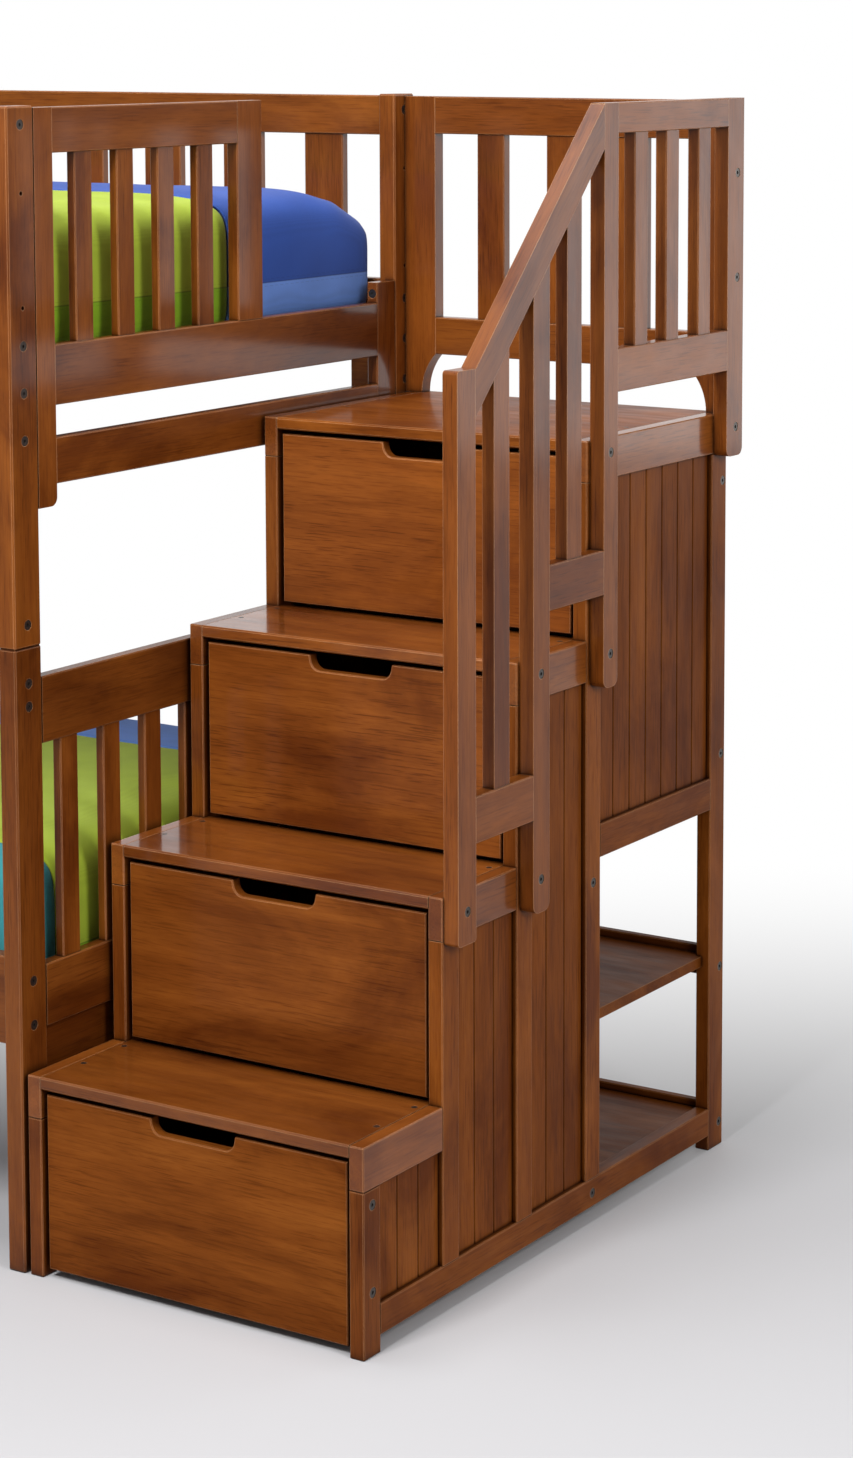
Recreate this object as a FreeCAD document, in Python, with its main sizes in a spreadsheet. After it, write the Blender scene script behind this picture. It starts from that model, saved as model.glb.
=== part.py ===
import FreeCAD, Part
import Sketcher
import math
import os
import re

# Twin-over-twin bunk bed with a staircase of four drawers at its right-hand end.
# Frame: +Z up, floor at z = 0, +X along the bed towards the stairs, -Y is the side the
# drawers open to.  The origin is the middle of the footprint.

doc = FreeCAD.newDocument("bunk_bed_with_drawer_stairs")

# ---------------------------------------------------------------------------------------
# Driving sizes, millimetres.  Every size that can be chosen by itself is one cell.
# ---------------------------------------------------------------------------------------
SIZES = {
    # bed frame, outside to outside, and the gap to the stair unit
    "bed_length": 2010,
    "bed_depth": 1101,
    "bed_proud": 3,
    "bed_gap": 8,
    # corner posts, stacked in two halves
    "post_thick": 34,
    "post_wide": 62,
    "lower_post_height": 984,
    "upper_post_height": 828,
    "pin_diameter": 12,
    "pin_half": 30,
    # rails along the bed
    "side_rail_thick": 25,
    "side_rail_height": 140,
    "lower_side_rail_bottom": 355,
    "upper_side_rail_bottom": 1342,
    "guard_rail_height": 70,
    "guard_rail_bottom": 1739,
    "guard_slat_wide": 84,
    "guard_slat_thick": 17,
    "guard_slat_margin": 170,
    "guard_slat_count": 10,
    # rails across the ends of the bed
    "end_rail_thick": 22,
    "end_slat_thick": 16,
    "end_slat_wide": 42,
    "end_slat_pitch": 105,
    "end_slat_start": 45,
    "end_slat_count": 9,
    "lower_end_rail_bottom": 380,
    "lower_end_rail_height": 99,
    "lower_end_board_height": 180,
    "lower_end_board_thick": 18,
    "lower_end_board_inset": 14,
    "lower_end_top_bottom": 829,
    "lower_end_top_height": 105,
    "upper_low_rail_bottom": 1229,
    "upper_low_rail_height": 72,
    "upper_end_rail_bottom": 1351,
    "upper_end_rail_height": 94,
    "end_stile_wide": 43,
    "end_stile_bottom": 1195,
    "guard_panel_length": 471,
    "panel_slat_start": 56,
    "panel_slat_pitch": 103.3,
    "panel_slat_count": 4,
    "entry_stile_wide": 68,
    "entry_back_wide": 56,
    "entry_back_top": 1481,
    # slatted bases, cleats and bedding
    "cleat_side": 22,
    "block_long": 63,
    "block_wide": 18.5,
    "base_slat_thick": 18,
    "base_slat_wide": 70,
    "base_slat_margin": 86,
    "base_slat_count": 13,
    "lower_base_top": 403,
    "upper_base_top": 1412,
    "mattress_foot_gap": 25,
    "mattress_width": 990,
    "mattress_thick": 215,
    "mattress_round": 35,
    "mattress_end_gap": 12,
    "cover_thick": 10,
    "cover_gap": 0.3,
    "cover_join": 0.6,
    "cover_lift": 25,
    "cover_start": 60,
    "teal_width": 87,
    "upper_green_width": 442,
    "lower_green_width": 665,
    # stair unit
    "unit_width": 630,
    "unit_depth": 1095,
    "rise": 320,
    "going": 210,
    "side_frame_thick": 26,
    "front_leg_wide": 43,
    "stile_wide": 45,
    "rear_stile_wide": 50,
    "base_rail_bottom": 26,
    "base_rail_height": 48,
    "side_board_height": 67,
    "tread_thick": 20,
    "tread_lap": 18,
    "low_rail_bottom": 600,
    "low_rail_height": 55,
    "panel_recess": 8,
    "plank_thick": 12,
    "plank_ease": 2.8,
    # drawers
    "drawer_gap": 7,
    "drawer_top_gap": 8,
    "drawer_recess": 6,
    "drawer_front_thick": 18,
    "first_drawer_bottom": 14,
    "pull_top": 158,
    "pull_bottom": 149,
    "pull_depth": 24.5,
    "pull_round": 18,
    "pull_lip": 2.5,
    "box_side_gap": 16,
    "box_wall": 12,
    "box_floor": 6,
    "box_lift": 26,
    "box_drop": 62,
    "box_1_back_gap": 26,
    "box_2_back_gap": 16,
    "box_3_back_gap": 31,
    "box_4_back_gap": 21,
    "runner_wide": 36,
    "runner_thick": 12,
    "running_gap": 0.3,
    # bookcase at the back of the stair unit
    "shelf_thick": 18,
    "shelf_top": 342,
    "shelf_nose": 11,
    "shelf_lip_bottom": 305,
    "shelf_lip_height": 51,
    "floor_shelf_top": 68,
    "floor_lip_height": 13,
    "lip_thick": 15,
    "lip_ahead": 35,
    "case_lap": 13,
    # handrail and guards round the stairs
    "rail_thick": 26,
    "rail_slat_thick": 21,
    "post_a_behind": 4,
    "post_a_wide": 49,
    "post_a_drop": 73,
    "post_a_stand": 790,
    "post_c_behind": 7,
    "post_c_wide": 47,
    "post_b_behind": 9,
    "post_b_wide": 43,
    "post_b_drop": 76,
    "post_d_ahead": 48,
    "post_d_wide": 55,
    "post_d_drop": 71,
    "post_top_round": 6,
    "post_foot_round": 14,
    "handrail_lift": 789,
    "handrail_over": 2,
    "handrail_depth": 73,
    "bay_rail_height": 72,
    "bay_lift": 75,
    "bay_slat_wide": 43,
    "bay_one_slat_behind": 55,
    "bay_two_slat_behind": 56,
    "landing_top_height": 48,
    "landing_low_height": 69,
    "landing_slat_one": 57,
    "landing_slat_two": 159,
    "landing_slat_three": 267,
    "landing_slat_wide": 42,
    "back_guard_thick": 26,
    "back_guard_below": 4,
    "back_stile_wide": 64,
    "back_right_stile_wide": 55,
    "back_arch_wide": 29,
    "back_rail_height": 66,
    "back_low_lift": 70,
    "back_slat_wide": 56,
    "back_slat_pitch": 142.7,
    "back_slat_first": 142.5,
    "back_slat_thick": 20,
    # fastenings
    "bolt_diameter": 8,
    "head_diameter": 15.4,
    "head_thick": 3,
    "head_sink": 0.6,
    "socket_width": 6,
    "socket_depth": 2,
    "bore_clearance": 0.6,
    "cap_diameter": 9,
    "plain_hole": 7,
    "plain_hole_depth": 15,
    # easing of the long edges of the boards
    "board_ease": 1.6,
    "post_ease": 2.5,
}

sheet = doc.addObject("Spreadsheet::Sheet", "Dims")
for row, (alias, number) in enumerate(SIZES.items(), start=1):
    sheet.set(f"A{row}", str(number))
    sheet.setAlias(f"A{row}", alias)
doc.recompute()

# Positions that follow from the sizes; each is a formula on the sheet.
layout = doc.addObject("App::VarSet", "Layout")
OWNER = {alias: "Dims." + alias for alias in SIZES}


def formula(text):
    """Write the owner in front of every size or position named in the text."""
    return re.sub(r"[a-z_][a-z0-9_]*", lambda found: OWNER.get(found.group(), found.group()), text)


def number(text):
    """The value of a formula now."""
    return float(layout.evalExpression(formula(text)))


def position(name, text):
    layout.addProperty("App::PropertyFloat", name, "Layout")
    layout.setExpression(name, formula(text))
    OWNER[name] = "Layout." + name


# across the bed and the stairs
position("right_edge", "(bed_length + bed_gap + unit_width + rail_thick) / 2")
position("guard_x", "right_edge - rail_thick")
position("unit_x", "guard_x - unit_width")
position("bed_right", "unit_x - bed_gap")
position("bed_left", "bed_right - bed_length")
position("inner_right", "bed_right - post_thick")
position("inner_left", "bed_left + post_thick")
# front to back
position("post_d_front", "unit_depth - post_d_ahead")
position("rear_overhang", "post_d_front + post_d_wide - unit_depth")
position("front_edge", "-(bed_proud + unit_depth + rear_overhang) / 2")
position("unit_y", "front_edge + bed_proud")
position("bed_back", "front_edge + bed_depth")
position("front_post_back", "front_edge + post_wide")
position("back_post_front", "bed_back - post_wide")
position("front_rail_y", "front_edge + (post_wide - side_rail_thick) / 2")
position("back_rail_y", "bed_back - (post_wide + side_rail_thick) / 2")
position("front_rail_inner", "front_rail_y + side_rail_thick")
position("top_of_bed", "lower_post_height + upper_post_height")
# stair unit
position("unit_right", "unit_x + unit_width")
position("unit_back", "unit_y + unit_depth")
position("inner_x", "unit_x + side_frame_thick")
position("inner_width", "unit_width - 2 * side_frame_thick")
position("landing", "4 * rise")
position("stile_two", "unit_y + going")
position("stile_three", "unit_y + 2 * going")
position("stile_four", "unit_y + 3 * going")
position("rear_stile", "unit_back - rear_stile_wide")
position("panel_x", "unit_right - panel_recess - plank_thick")
position("slat_inset", "(rail_thick - rail_slat_thick) / 2")
position("bed_middle", "(bed_left + bed_right) / 2")
# spacing of the slats and length of the mattresses, from the length of the bed
position("guard_slat_pitch", "(bed_length - guard_slat_margin) / guard_slat_count")
position("base_slat_pitch", "(bed_length - base_slat_margin) / base_slat_count")
position("mattress_length", "inner_right - inner_left - mattress_end_gap - mattress_foot_gap")
# handrail: its posts stand behind the stair stiles and hang below the treads
position("post_a_front", "going + post_a_behind")
position("post_c_front", "2 * going + post_c_behind")
position("post_b_front", "3 * going + post_b_behind")
position("post_a_bottom", "2 * rise - post_a_drop")
position("post_b_bottom", "3 * rise - post_b_drop")
position("post_d_bottom", "4 * rise - post_d_drop")
position("post_a_top", "2 * rise + post_a_stand")
position("handrail_start", "2 * rise + handrail_lift")
position("handrail_rise", "top_of_bed + handrail_over - handrail_start")
position("bay_one_bottom", "2 * rise + bay_lift")
position("bay_two_bottom", "3 * rise + bay_lift")
position("bay_one_slat", "post_a_front + post_a_wide + bay_one_slat_behind")
position("bay_two_slat", "post_c_front + post_c_wide + bay_two_slat_behind")
position("landing_low_bottom", "landing + bay_lift")
position("landing_top_bottom", "top_of_bed - landing_top_height")
# back of the stairs
position("back_guard_front", "unit_depth - back_guard_thick")
position("back_guard_top", "top_of_bed - back_guard_below")
position("back_low_bottom", "landing + back_low_lift")
position("back_arch_radius", "(back_arch_wide * back_arch_wide + back_low_lift * back_low_lift) / (2 * back_arch_wide)")
position("lip_front", "unit_depth - lip_ahead")
doc.recompute()


# ---------------------------------------------------------------------------------------
# Ways of making a piece
# ---------------------------------------------------------------------------------------
def bind(piece, **sizes):
    for name, text in sizes.items():
        piece.setExpression(name, formula(text))


def place(piece, corner):
    for axis, text in zip("xyz", corner):
        piece.setExpression("Placement.Base." + axis, formula(text))


def ease(name, piece, size, every=False):
    """Chamfer the long edges of a board, or every edge of it."""
    piece.recompute()
    box = piece.Shape.BoundBox
    spans = (box.XLength, box.YLength, box.ZLength)
    long_axis = spans.index(max(spans))
    chosen = []
    for index, edge in enumerate(piece.Shape.Edges, start=1):
        run = edge.Vertexes[1].Point - edge.Vertexes[0].Point
        if every or abs(run[long_axis]) > 0.99 * edge.Length:
            chosen.append((index, size, size))
    eased = doc.addObject("Part::Chamfer", name)
    eased.Base = piece
    eased.Edges = chosen
    return eased


def drill(name, piece, bores):
    """Take the bores out of a piece."""
    if not bores:
        return piece
    tool = doc.addObject("Part::Compound", name + "_bores")
    tool.Links = bores
    cut = doc.addObject("Part::Cut", name + "_drilled")
    cut.Base = piece
    cut.Tool = tool
    return cut


def board(name, size, corner, bores=(), easing="board_ease", every=False):
    """A sawn board: a box with eased edges and its bores."""
    blank = doc.addObject("Part::Box", name + "_blank")
    bind(blank, Length=size[0], Width=size[1], Height=size[2])
    place(blank, corner)
    eased = ease(name + "_eased", blank, number(easing), every)
    return drill(name, eased, list(bores))


def node(name, pieces):
    """One named sub-part: a single piece, or a set of like pieces."""
    if len(pieces) == 1:
        part = pieces[0]
    else:
        part = doc.addObject("Part::Compound", name + "_set")
        part.Links = pieces
    part.Label = name
    NODES.append(part)
    return part


def trace(sketch, path):
    """Closed outline.  A corner is (across, up); a corner reached by an arc adds its centre,
    its radius and +1 (anticlockwise) or -1."""
    corners = [(number(step[0]), number(step[1])) for step in path]
    total = len(path)
    for index in range(total):
        start = FreeCAD.Vector(*corners[index], 0)
        step = path[(index + 1) % total]
        finish = FreeCAD.Vector(*corners[(index + 1) % total], 0)
        if len(step) == 2:
            sketch.addGeometry(Part.LineSegment(start, finish), False)
            continue
        centre = FreeCAD.Vector(number(step[2]), number(step[3]), 0)
        first, second = (start, finish) if step[5] > 0 else (finish, start)
        circle = Part.Circle(centre, FreeCAD.Vector(0, 0, 1), number(step[4]))
        begin = math.atan2(first.y - centre.y, first.x - centre.x)
        end = math.atan2(second.y - centre.y, second.x - centre.x)
        sketch.addGeometry(Part.ArcOfCircle(circle, begin, end if end > begin else end + 2 * math.pi), False)
    ends = []
    for index in range(total):
        step = path[(index + 1) % total]
        ends.append((2, 1) if len(step) > 2 and step[5] < 0 else (1, 2))
    for index in range(total):
        after = (index + 1) % total
        sketch.addConstraint(Sketcher.Constraint("Coincident", index, ends[index][1], after, ends[after][0]))
    for index, step in enumerate(path):
        for kind, value, text in (("DistanceX", corners[index][0], step[0]), ("DistanceY", corners[index][1], step[1])):
            row = sketch.addConstraint(Sketcher.Constraint(kind, -1, 1, index, ends[index][0], value))
            sketch.setExpression(f"Constraints[{row}]", formula(text))
        if len(step) > 2:
            arc = (index - 1) % total
            row = sketch.addConstraint(Sketcher.Constraint("Radius", arc, number(step[4])))
            sketch.setExpression(f"Constraints[{row}]", formula(step[4]))


def plate(name, plane, path, thick, corner, rounds=()):
    """A padded outline on one of the body's own planes; rounds are (across, up, radius)."""
    body = doc.addObject("PartDesign::Body", name)
    sketch = body.newObject("Sketcher::SketchObject", name + "_outline")
    role = {"XZ": "XZ_Plane", "YZ": "YZ_Plane", "XY": "XY_Plane"}[plane]
    origin_plane = [item for item in body.Origin.OriginFeatures if item.Role == role][0]
    sketch.AttachmentSupport = (origin_plane, [""])
    sketch.MapMode = "FlatFace"
    trace(sketch, path)
    pad = body.newObject("PartDesign::Pad", name + "_pad")
    pad.Profile = sketch
    pad.setExpression("Length", formula(thick))
    doc.recompute()
    for turn, (across, up, radius) in enumerate(rounds):
        spot = {"XZ": (0, 2), "YZ": (1, 2), "XY": (0, 1)}[plane]
        names = []
        base = body.Tip
        for index, edge in enumerate(base.Shape.Edges, start=1):
            near = [abs(vertex.Point[spot[0]] - number(across)) + abs(vertex.Point[spot[1]] - number(up)) < 0.01
                    for vertex in edge.Vertexes]
            if len(near) == 2 and all(near):
                names.append(f"Edge{index}")
        fillet = body.newObject("PartDesign::Fillet", f"{name}_round_{turn}")
        fillet.Base = (base, names)
        fillet.setExpression("Radius", formula(radius))
        doc.recompute()
    place(body, corner)
    return body


HEADINGS = {"+x": (1, 0, 0), "-x": (-1, 0, 0), "+y": (0, 1, 0), "-y": (0, -1, 0), "-z": (0, 0, -1)}


def rod(name, heading, start, offset, diameter, length):
    """A cylinder that begins at the start point, moved by the offset along its heading."""
    cylinder = doc.addObject("Part::Cylinder", name)
    direction = FreeCAD.Vector(*HEADINGS[heading])
    cylinder.Placement.Rotation = FreeCAD.Rotation(FreeCAD.Vector(0, 0, 1), direction)
    bind(cylinder, Radius=f"({diameter}) / 2", Height=length)
    axis = "xyz".index(heading[1])
    corner = list(start)
    corner[axis] = f"{corner[axis]} {heading[0]} ({offset})"
    place(cylinder, corner)
    return cylinder


def bolt(name, heading, start, length):
    """A socket-head bolt sunk in the face at the start point, and the bore it stands in."""
    head = rod(name + "_head", heading, start, "head_sink", "head_diameter", "head_thick")
    shank = rod(name + "_shank", heading, start, "head_sink + head_thick", "bolt_diameter", length)
    joined = doc.addObject("Part::Fuse", name + "_blank")
    joined.Base = head
    joined.Tool = shank
    socket = doc.addObject("Part::Prism", name + "_socket")
    socket.Polygon = 6
    socket.Placement.Rotation = head.Placement.Rotation
    bind(socket, Circumradius="socket_width / 2", Height="socket_depth")
    axis = "xyz".index(heading[1])
    corner = list(start)
    corner[axis] = f"{corner[axis]} {heading[0]} head_sink"
    place(socket, corner)
    screw = doc.addObject("Part::Cut", name)
    screw.Base = joined
    screw.Tool = socket
    seat = rod(name + "_seat", heading, start, "-1", "head_diameter + bore_clearance", "1 + head_sink + head_thick")
    hole = rod(name + "_hole", heading, start, "0", "bolt_diameter + bore_clearance", f"{length} + head_sink + head_thick + 2")
    bore = doc.addObject("Part::Fuse", name + "_bore")
    bore.Base = seat
    bore.Tool = hole
    BOLTS.append(screw)
    return bore


NODES = []
BOLTS = []

# ---------------------------------------------------------------------------------------
# Bed: corner posts with their bolts
# ---------------------------------------------------------------------------------------
# Bolts run along X through each post into the ends of the rails between the posts.
LOWER_BOLTS = {"lower_rail_low": ("lower_side_rail_bottom + 35", "80"), "lower_rail_high": ("lower_side_rail_bottom + 105", "80"),
               "lower_end_low": ("lower_end_top_bottom + 63", "26"),
               "lower_end_high": ("lower_end_top_bottom + 99", "26")}
UPPER_BOLTS = {"upper_rail_low": ("upper_side_rail_bottom + 34", "80"), "upper_rail_high": ("upper_side_rail_bottom + 106", "80"),
               "guard_rail": ("guard_rail_bottom + 45", "80"), "upper_foot": ("lower_post_height + 35", "26"),
               "upper_low_end": ("upper_low_rail_bottom + 74", "26")}
RAIL_BORES = {"lower": {"front": [], "back": []}, "upper": {"front": [], "back": []}, "guard": {"front": [], "back": []}}
pins = []

for end, face, corner_x, heading in (("right", "bed_right", "inner_right", "-x"), ("left", "bed_left", "bed_left", "+x")):
    for side, corner_y, middle_y in (("front", "front_edge", "front_edge + post_wide / 2"),
                                     ("back", "back_post_front", "bed_back - post_wide / 2")):
        tag = f"{side}_{end}"
        bores = {"lower": [], "upper": []}
        for level, bolts in (("lower", LOWER_BOLTS), ("upper", UPPER_BOLTS)):
            for bolt_name, (height, length) in bolts.items():
                bore = bolt(f"bolt_{bolt_name}_{tag}", heading, (face, middle_y, height), length)
                bores[level].append(bore)
                if "side_rail_bottom" in height:
                    RAIL_BORES[level][side].append(bore)
                if bolt_name == "guard_rail":
                    RAIL_BORES["guard"][side].append(bore)
        for spot, height in (("upper", "1680"), ("middle", "1506")):
            bores["upper"].append(rod(f"hole_{spot}_{tag}", heading, (face, middle_y, height), "-1",
                                      "plain_hole", "plain_hole_depth + 1"))
        # the pin that keeps the two halves of the post in line
        middle_x = f"{corner_x} + post_thick / 2"
        pin_start = (middle_x, middle_y, "lower_post_height + pin_half")
        pins.append(rod(f"pin_{tag}", "-z", pin_start, "0", "pin_diameter", "2 * pin_half"))
        pin_bore = rod(f"pin_bore_{tag}", "-z", pin_start, "-0.5", "pin_diameter + bore_clearance", "2 * pin_half + 1")
        node(f"lower_post_{tag}", [board(f"lower_post_{tag}", ("post_thick", "post_wide", "lower_post_height"),
                                         (corner_x, corner_y, "0"), bores["lower"] + [pin_bore], "post_ease", True)])
        node(f"upper_post_{tag}", [board(f"upper_post_{tag}", ("post_thick", "post_wide", "upper_post_height"),
                                         (corner_x, corner_y, "lower_post_height"), bores["upper"] + [pin_bore],
                                         "post_ease", True)])
node("stacking_pins", pins)

# ---------------------------------------------------------------------------------------
# Bed: rails along the sides, and the guard above them
# ---------------------------------------------------------------------------------------
RAIL_Y = {"front": "front_rail_y", "back": "back_rail_y"}
rail_length = "inner_right - inner_left"
for level in ("lower", "upper"):
    node(f"{level}_side_rails",
         [board(f"{level}_side_rail_{side}", (rail_length, "side_rail_thick", "side_rail_height"),
                ("inner_left", RAIL_Y[side], f"{level}_side_rail_bottom"), RAIL_BORES[level][side])
          for side in ("front", "back")])

node("guard_rails",
     [board(f"guard_rail_{side}", (rail_length, "side_rail_thick", "guard_rail_height"),
            ("inner_left", RAIL_Y[side], "guard_rail_bottom"), RAIL_BORES["guard"][side])
      for side in ("front", "back")])

guard_slats = []
for side in ("front", "back"):
    for index in range(int(number("guard_slat_count"))):
        from_right = f"inner_right - {index + 1} * guard_slat_pitch + 90"
        guard_slats.append(board(f"guard_slat_{side}_{index + 1}",
                                 ("guard_slat_wide", "guard_slat_thick",
                                  "guard_rail_bottom - upper_side_rail_bottom - side_rail_height"),
                                 (f"{from_right} - guard_slat_wide", f"{RAIL_Y[side]} + (side_rail_thick - guard_slat_thick) / 2",
                                  "upper_side_rail_bottom + side_rail_height")))
node("guard_slats", guard_slats)

# ---------------------------------------------------------------------------------------
# Bed: ends.  Rails stand flush with the outer faces of the posts, slats inside them.
# ---------------------------------------------------------------------------------------
END_X = {"right": "bed_right - end_rail_thick", "left": "bed_left"}
between_posts = "back_post_front - front_post_back"
slat_inset = "(end_rail_thick - end_slat_thick) / 2"


def end_rail(name, end, bottom, height, start="front_post_back", length=between_posts):
    return board(name, ("end_rail_thick", length, height), (END_X[end], start, bottom))


def end_slats(name, end, start, count, pitch, bottom, top):
    slats = []
    for index in range(count):
        slats.append(board(f"{name}_{index + 1}", ("end_slat_thick", "end_slat_wide", f"({top}) - ({bottom})"),
                           (f"{END_X[end]} + {slat_inset}", f"{start} + {index} * {pitch}", bottom)))
    return slats


# a thinner board closes the foot of the end beside the stairs, set back under its bottom rail
foot_board = board("lower_end_foot_board", ("lower_end_board_thick", between_posts, "lower_end_board_height"),
                   ("bed_right - lower_end_board_inset - lower_end_board_thick", "front_post_back",
                    "lower_end_rail_bottom - lower_end_board_height"))
for end in ("right", "left"):
    node(f"lower_end_rails_{end}",
         [end_rail(f"lower_end_bottom_{end}", end, "lower_end_rail_bottom", "lower_end_rail_height"),
          end_rail(f"lower_end_top_{end}", end, "lower_end_top_bottom", "lower_end_top_height")]
         + ([foot_board] if end == "right" else []))
    node(f"lower_end_slats_{end}",
         end_slats(f"lower_end_slat_{end}", end, "front_post_back + end_slat_start", int(number("end_slat_count")),
                   "end_slat_pitch", "lower_end_rail_bottom + lower_end_rail_height", "lower_end_top_bottom"))

stile_end = "front_post_back + end_stile_wide"
upper_rail_top = "upper_end_rail_bottom + upper_end_rail_height"
guard_top = "guard_rail_bottom + guard_rail_height"
# right-hand end: guard over the front half only, then the way in from the landing
back_stile = "back_post_front - entry_back_wide"
node("upper_end_rails_right",
     [end_rail("upper_low_rail_right", "right", "upper_low_rail_bottom", "upper_low_rail_height", stile_end,
               f"{back_stile} - ({stile_end})"),
      end_rail("upper_end_rail_right", "right", "upper_end_rail_bottom", "upper_end_rail_height", stile_end,
               f"{back_stile} - ({stile_end})"),
      end_rail("upper_guard_rail_right", "right", "guard_rail_bottom", "guard_rail_height", stile_end,
               "guard_panel_length")])
front_stile = plate("upper_front_stile_right", "YZ",
                    [("0", "end_stile_bottom"), ("end_stile_wide", "end_stile_bottom"),
                     ("end_stile_wide", guard_top), ("0", guard_top)],
                    "end_rail_thick", (END_X["right"], "front_post_back", "0"),
                    [("end_stile_wide", "end_stile_bottom", "post_foot_round")])
node("upper_end_stiles_right",
     [front_stile,
      board("entry_stile", ("end_rail_thick", "entry_stile_wide", f"{guard_top} - ({upper_rail_top})"),
            (END_X["right"], f"{stile_end} + guard_panel_length", upper_rail_top)),
      board("entry_back_stile", ("end_rail_thick", "entry_back_wide", "entry_back_top - end_stile_bottom"),
            (END_X["right"], back_stile, "end_stile_bottom"),
            [bolt("bolt_entry_stile", "+y", ("bed_right - end_rail_thick / 2", back_stile, "entry_back_top - 20"), "36")])])
node("upper_end_slats_right",
     end_slats("upper_end_slat_right", "right", f"{stile_end} + panel_slat_start", int(number("panel_slat_count")),
               "panel_slat_pitch", upper_rail_top, "guard_rail_bottom"))
# left-hand end: the guard runs right across
far_stile = "back_post_front - end_stile_wide"
node("upper_end_rails_left",
     [end_rail(f"{label}_left", "left", bottom, height, stile_end, f"{far_stile} - ({stile_end})")
      for label, bottom, height in (("upper_low_rail", "upper_low_rail_bottom", "upper_low_rail_height"),
                                    ("upper_end_rail", "upper_end_rail_bottom", "upper_end_rail_height"),
                                    ("upper_guard_rail", "guard_rail_bottom", "guard_rail_height"))])
left_stiles = [board(f"upper_stile_left_{side}", ("end_rail_thick", "end_stile_wide", f"{guard_top} - end_stile_bottom"),
                     (END_X["left"], start, "end_stile_bottom"))
               for side, start in (("front", "front_post_back"), ("back", far_stile))]
node("upper_end_slats_left",
     left_stiles + end_slats("upper_end_slat_left", "left", f"{stile_end} + panel_slat_start", 8, "panel_slat_pitch",
                             upper_rail_top, "guard_rail_bottom"))

# ---------------------------------------------------------------------------------------
# Bed: cleats, slatted bases and bedding
# ---------------------------------------------------------------------------------------
cleats = []
for level in ("lower", "upper"):
    for side, start in (("front", "front_rail_inner"), ("back", "back_rail_y - cleat_side")):
        cleats.append(board(f"cleat_{level}_{side}", (f"{rail_length} - 40", "cleat_side", "cleat_side"),
                            ("inner_left + 20", start, f"{level}_base_top - base_slat_thick - cleat_side")))
# a short block under each end of the upper side rails
for side, start in (("front", "front_post_back - block_wide"), ("back", "back_post_front")):
    for end, corner in (("right", "inner_right - block_long"), ("left", "inner_left")):
        cleats.append(board(f"rail_block_{side}_{end}",
                            ("block_long", "block_wide", "upper_side_rail_bottom - upper_low_rail_bottom"),
                            (corner, start, "upper_low_rail_bottom")))
node("slat_cleats", cleats)

for level in ("lower", "upper"):
    slats = []
    for index in range(int(number("base_slat_count"))):
        offset = f"({index} - (base_slat_count - 1) / 2) * base_slat_pitch - base_slat_wide / 2"
        slats.append(board(f"{level}_base_slat_{index + 1}",
                           ("base_slat_wide", "back_rail_y - front_rail_inner - 2", "base_slat_thick"),
                           (f"bed_middle + {offset}", "front_rail_inner + 1", f"{level}_base_top - base_slat_thick")))
    node(f"{level}_bed_slats", slats)

# Each bunk has a mattress and a coverlet in three lengthwise bands.  The coverlet lies on the
# mattress and hangs down its sides and its right-hand end.
mattress_y = "(front_rail_inner + back_rail_y - mattress_width) / 2"
mattress_end = "inner_right - mattress_end_gap"


def rounded_block(name, size, corner, radius, only_top=False):
    """A block with rounded edges; only_top leaves the bottom and the left-hand end square."""
    block = doc.addObject("Part::Box", name + "_block")
    bind(block, Length=size[0], Width=size[1], Height=size[2])
    place(block, corner)
    block.recompute()
    box = block.Shape.BoundBox
    chosen = []
    for index, edge in enumerate(block.Shape.Edges, start=1):
        middle = edge.BoundBox.Center
        along_x = edge.BoundBox.XLength > 1
        on_top = abs(middle.z - box.ZMax) < 0.01
        at_end = abs(middle.x - box.XMax) < 0.01
        upright_edge = edge.BoundBox.ZLength > 1
        if not only_top or (on_top and (along_x or at_end)) or (upright_edge and at_end):
            chosen.append((index, number(radius), number(radius)))
    rounded = doc.addObject("Part::Fillet", name)
    rounded.Base = block
    rounded.Edges = chosen
    return rounded


for level, green in (("lower", "lower_green_width"), ("upper", "upper_green_width")):
    base = f"{level}_base_top"
    left = f"{mattress_end} - mattress_length"
    node(f"{level}_mattress",
         [rounded_block(f"{level}_mattress_rounded", ("mattress_length", "mattress_width", "mattress_thick"),
                        (left, mattress_y, base), "mattress_round")])
    shell = doc.addObject("Part::Cut", f"{level}_cover_shell")
    skin = "(cover_thick + cover_gap)"
    shell.Base = rounded_block(f"{level}_cover_outside",
                               (f"mattress_length - cover_start + {skin}", f"mattress_width + 2 * {skin}",
                                f"mattress_thick - cover_lift + {skin}"),
                               (f"{left} + cover_start", f"{mattress_y} - {skin}", f"{base} + cover_lift"),
                               "mattress_round + cover_thick + cover_gap", True)
    shell.Tool = rounded_block(f"{level}_cover_inside",
                               ("mattress_length + cover_gap", "mattress_width + 2 * cover_gap", "mattress_thick + cover_gap"),
                               (left, f"{mattress_y} - cover_gap", base), "mattress_round + cover_gap", True)
    bands = (("teal", f"-2 * {skin}", f"teal_width + 2 * {skin}"),
             ("green", "teal_width + cover_join", green),
             ("blue", f"teal_width + {green} + 2 * cover_join",
              f"mattress_width - teal_width - {green} - 2 * cover_join + 2 * {skin}"))
    for colour, start, width in bands:
        strip = doc.addObject("Part::Box", f"{level}_strip_{colour}")
        bind(strip, Length="mattress_length + 100", Width=width, Height="mattress_thick + 100")
        place(strip, (left, f"{mattress_y} + {start}", base))
        cover = doc.addObject("Part::Common", f"{level}_cover_band_{colour}")
        cover.Base = shell
        cover.Tool = strip
        node(f"{level}_cover_{colour}", [cover])

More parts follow.
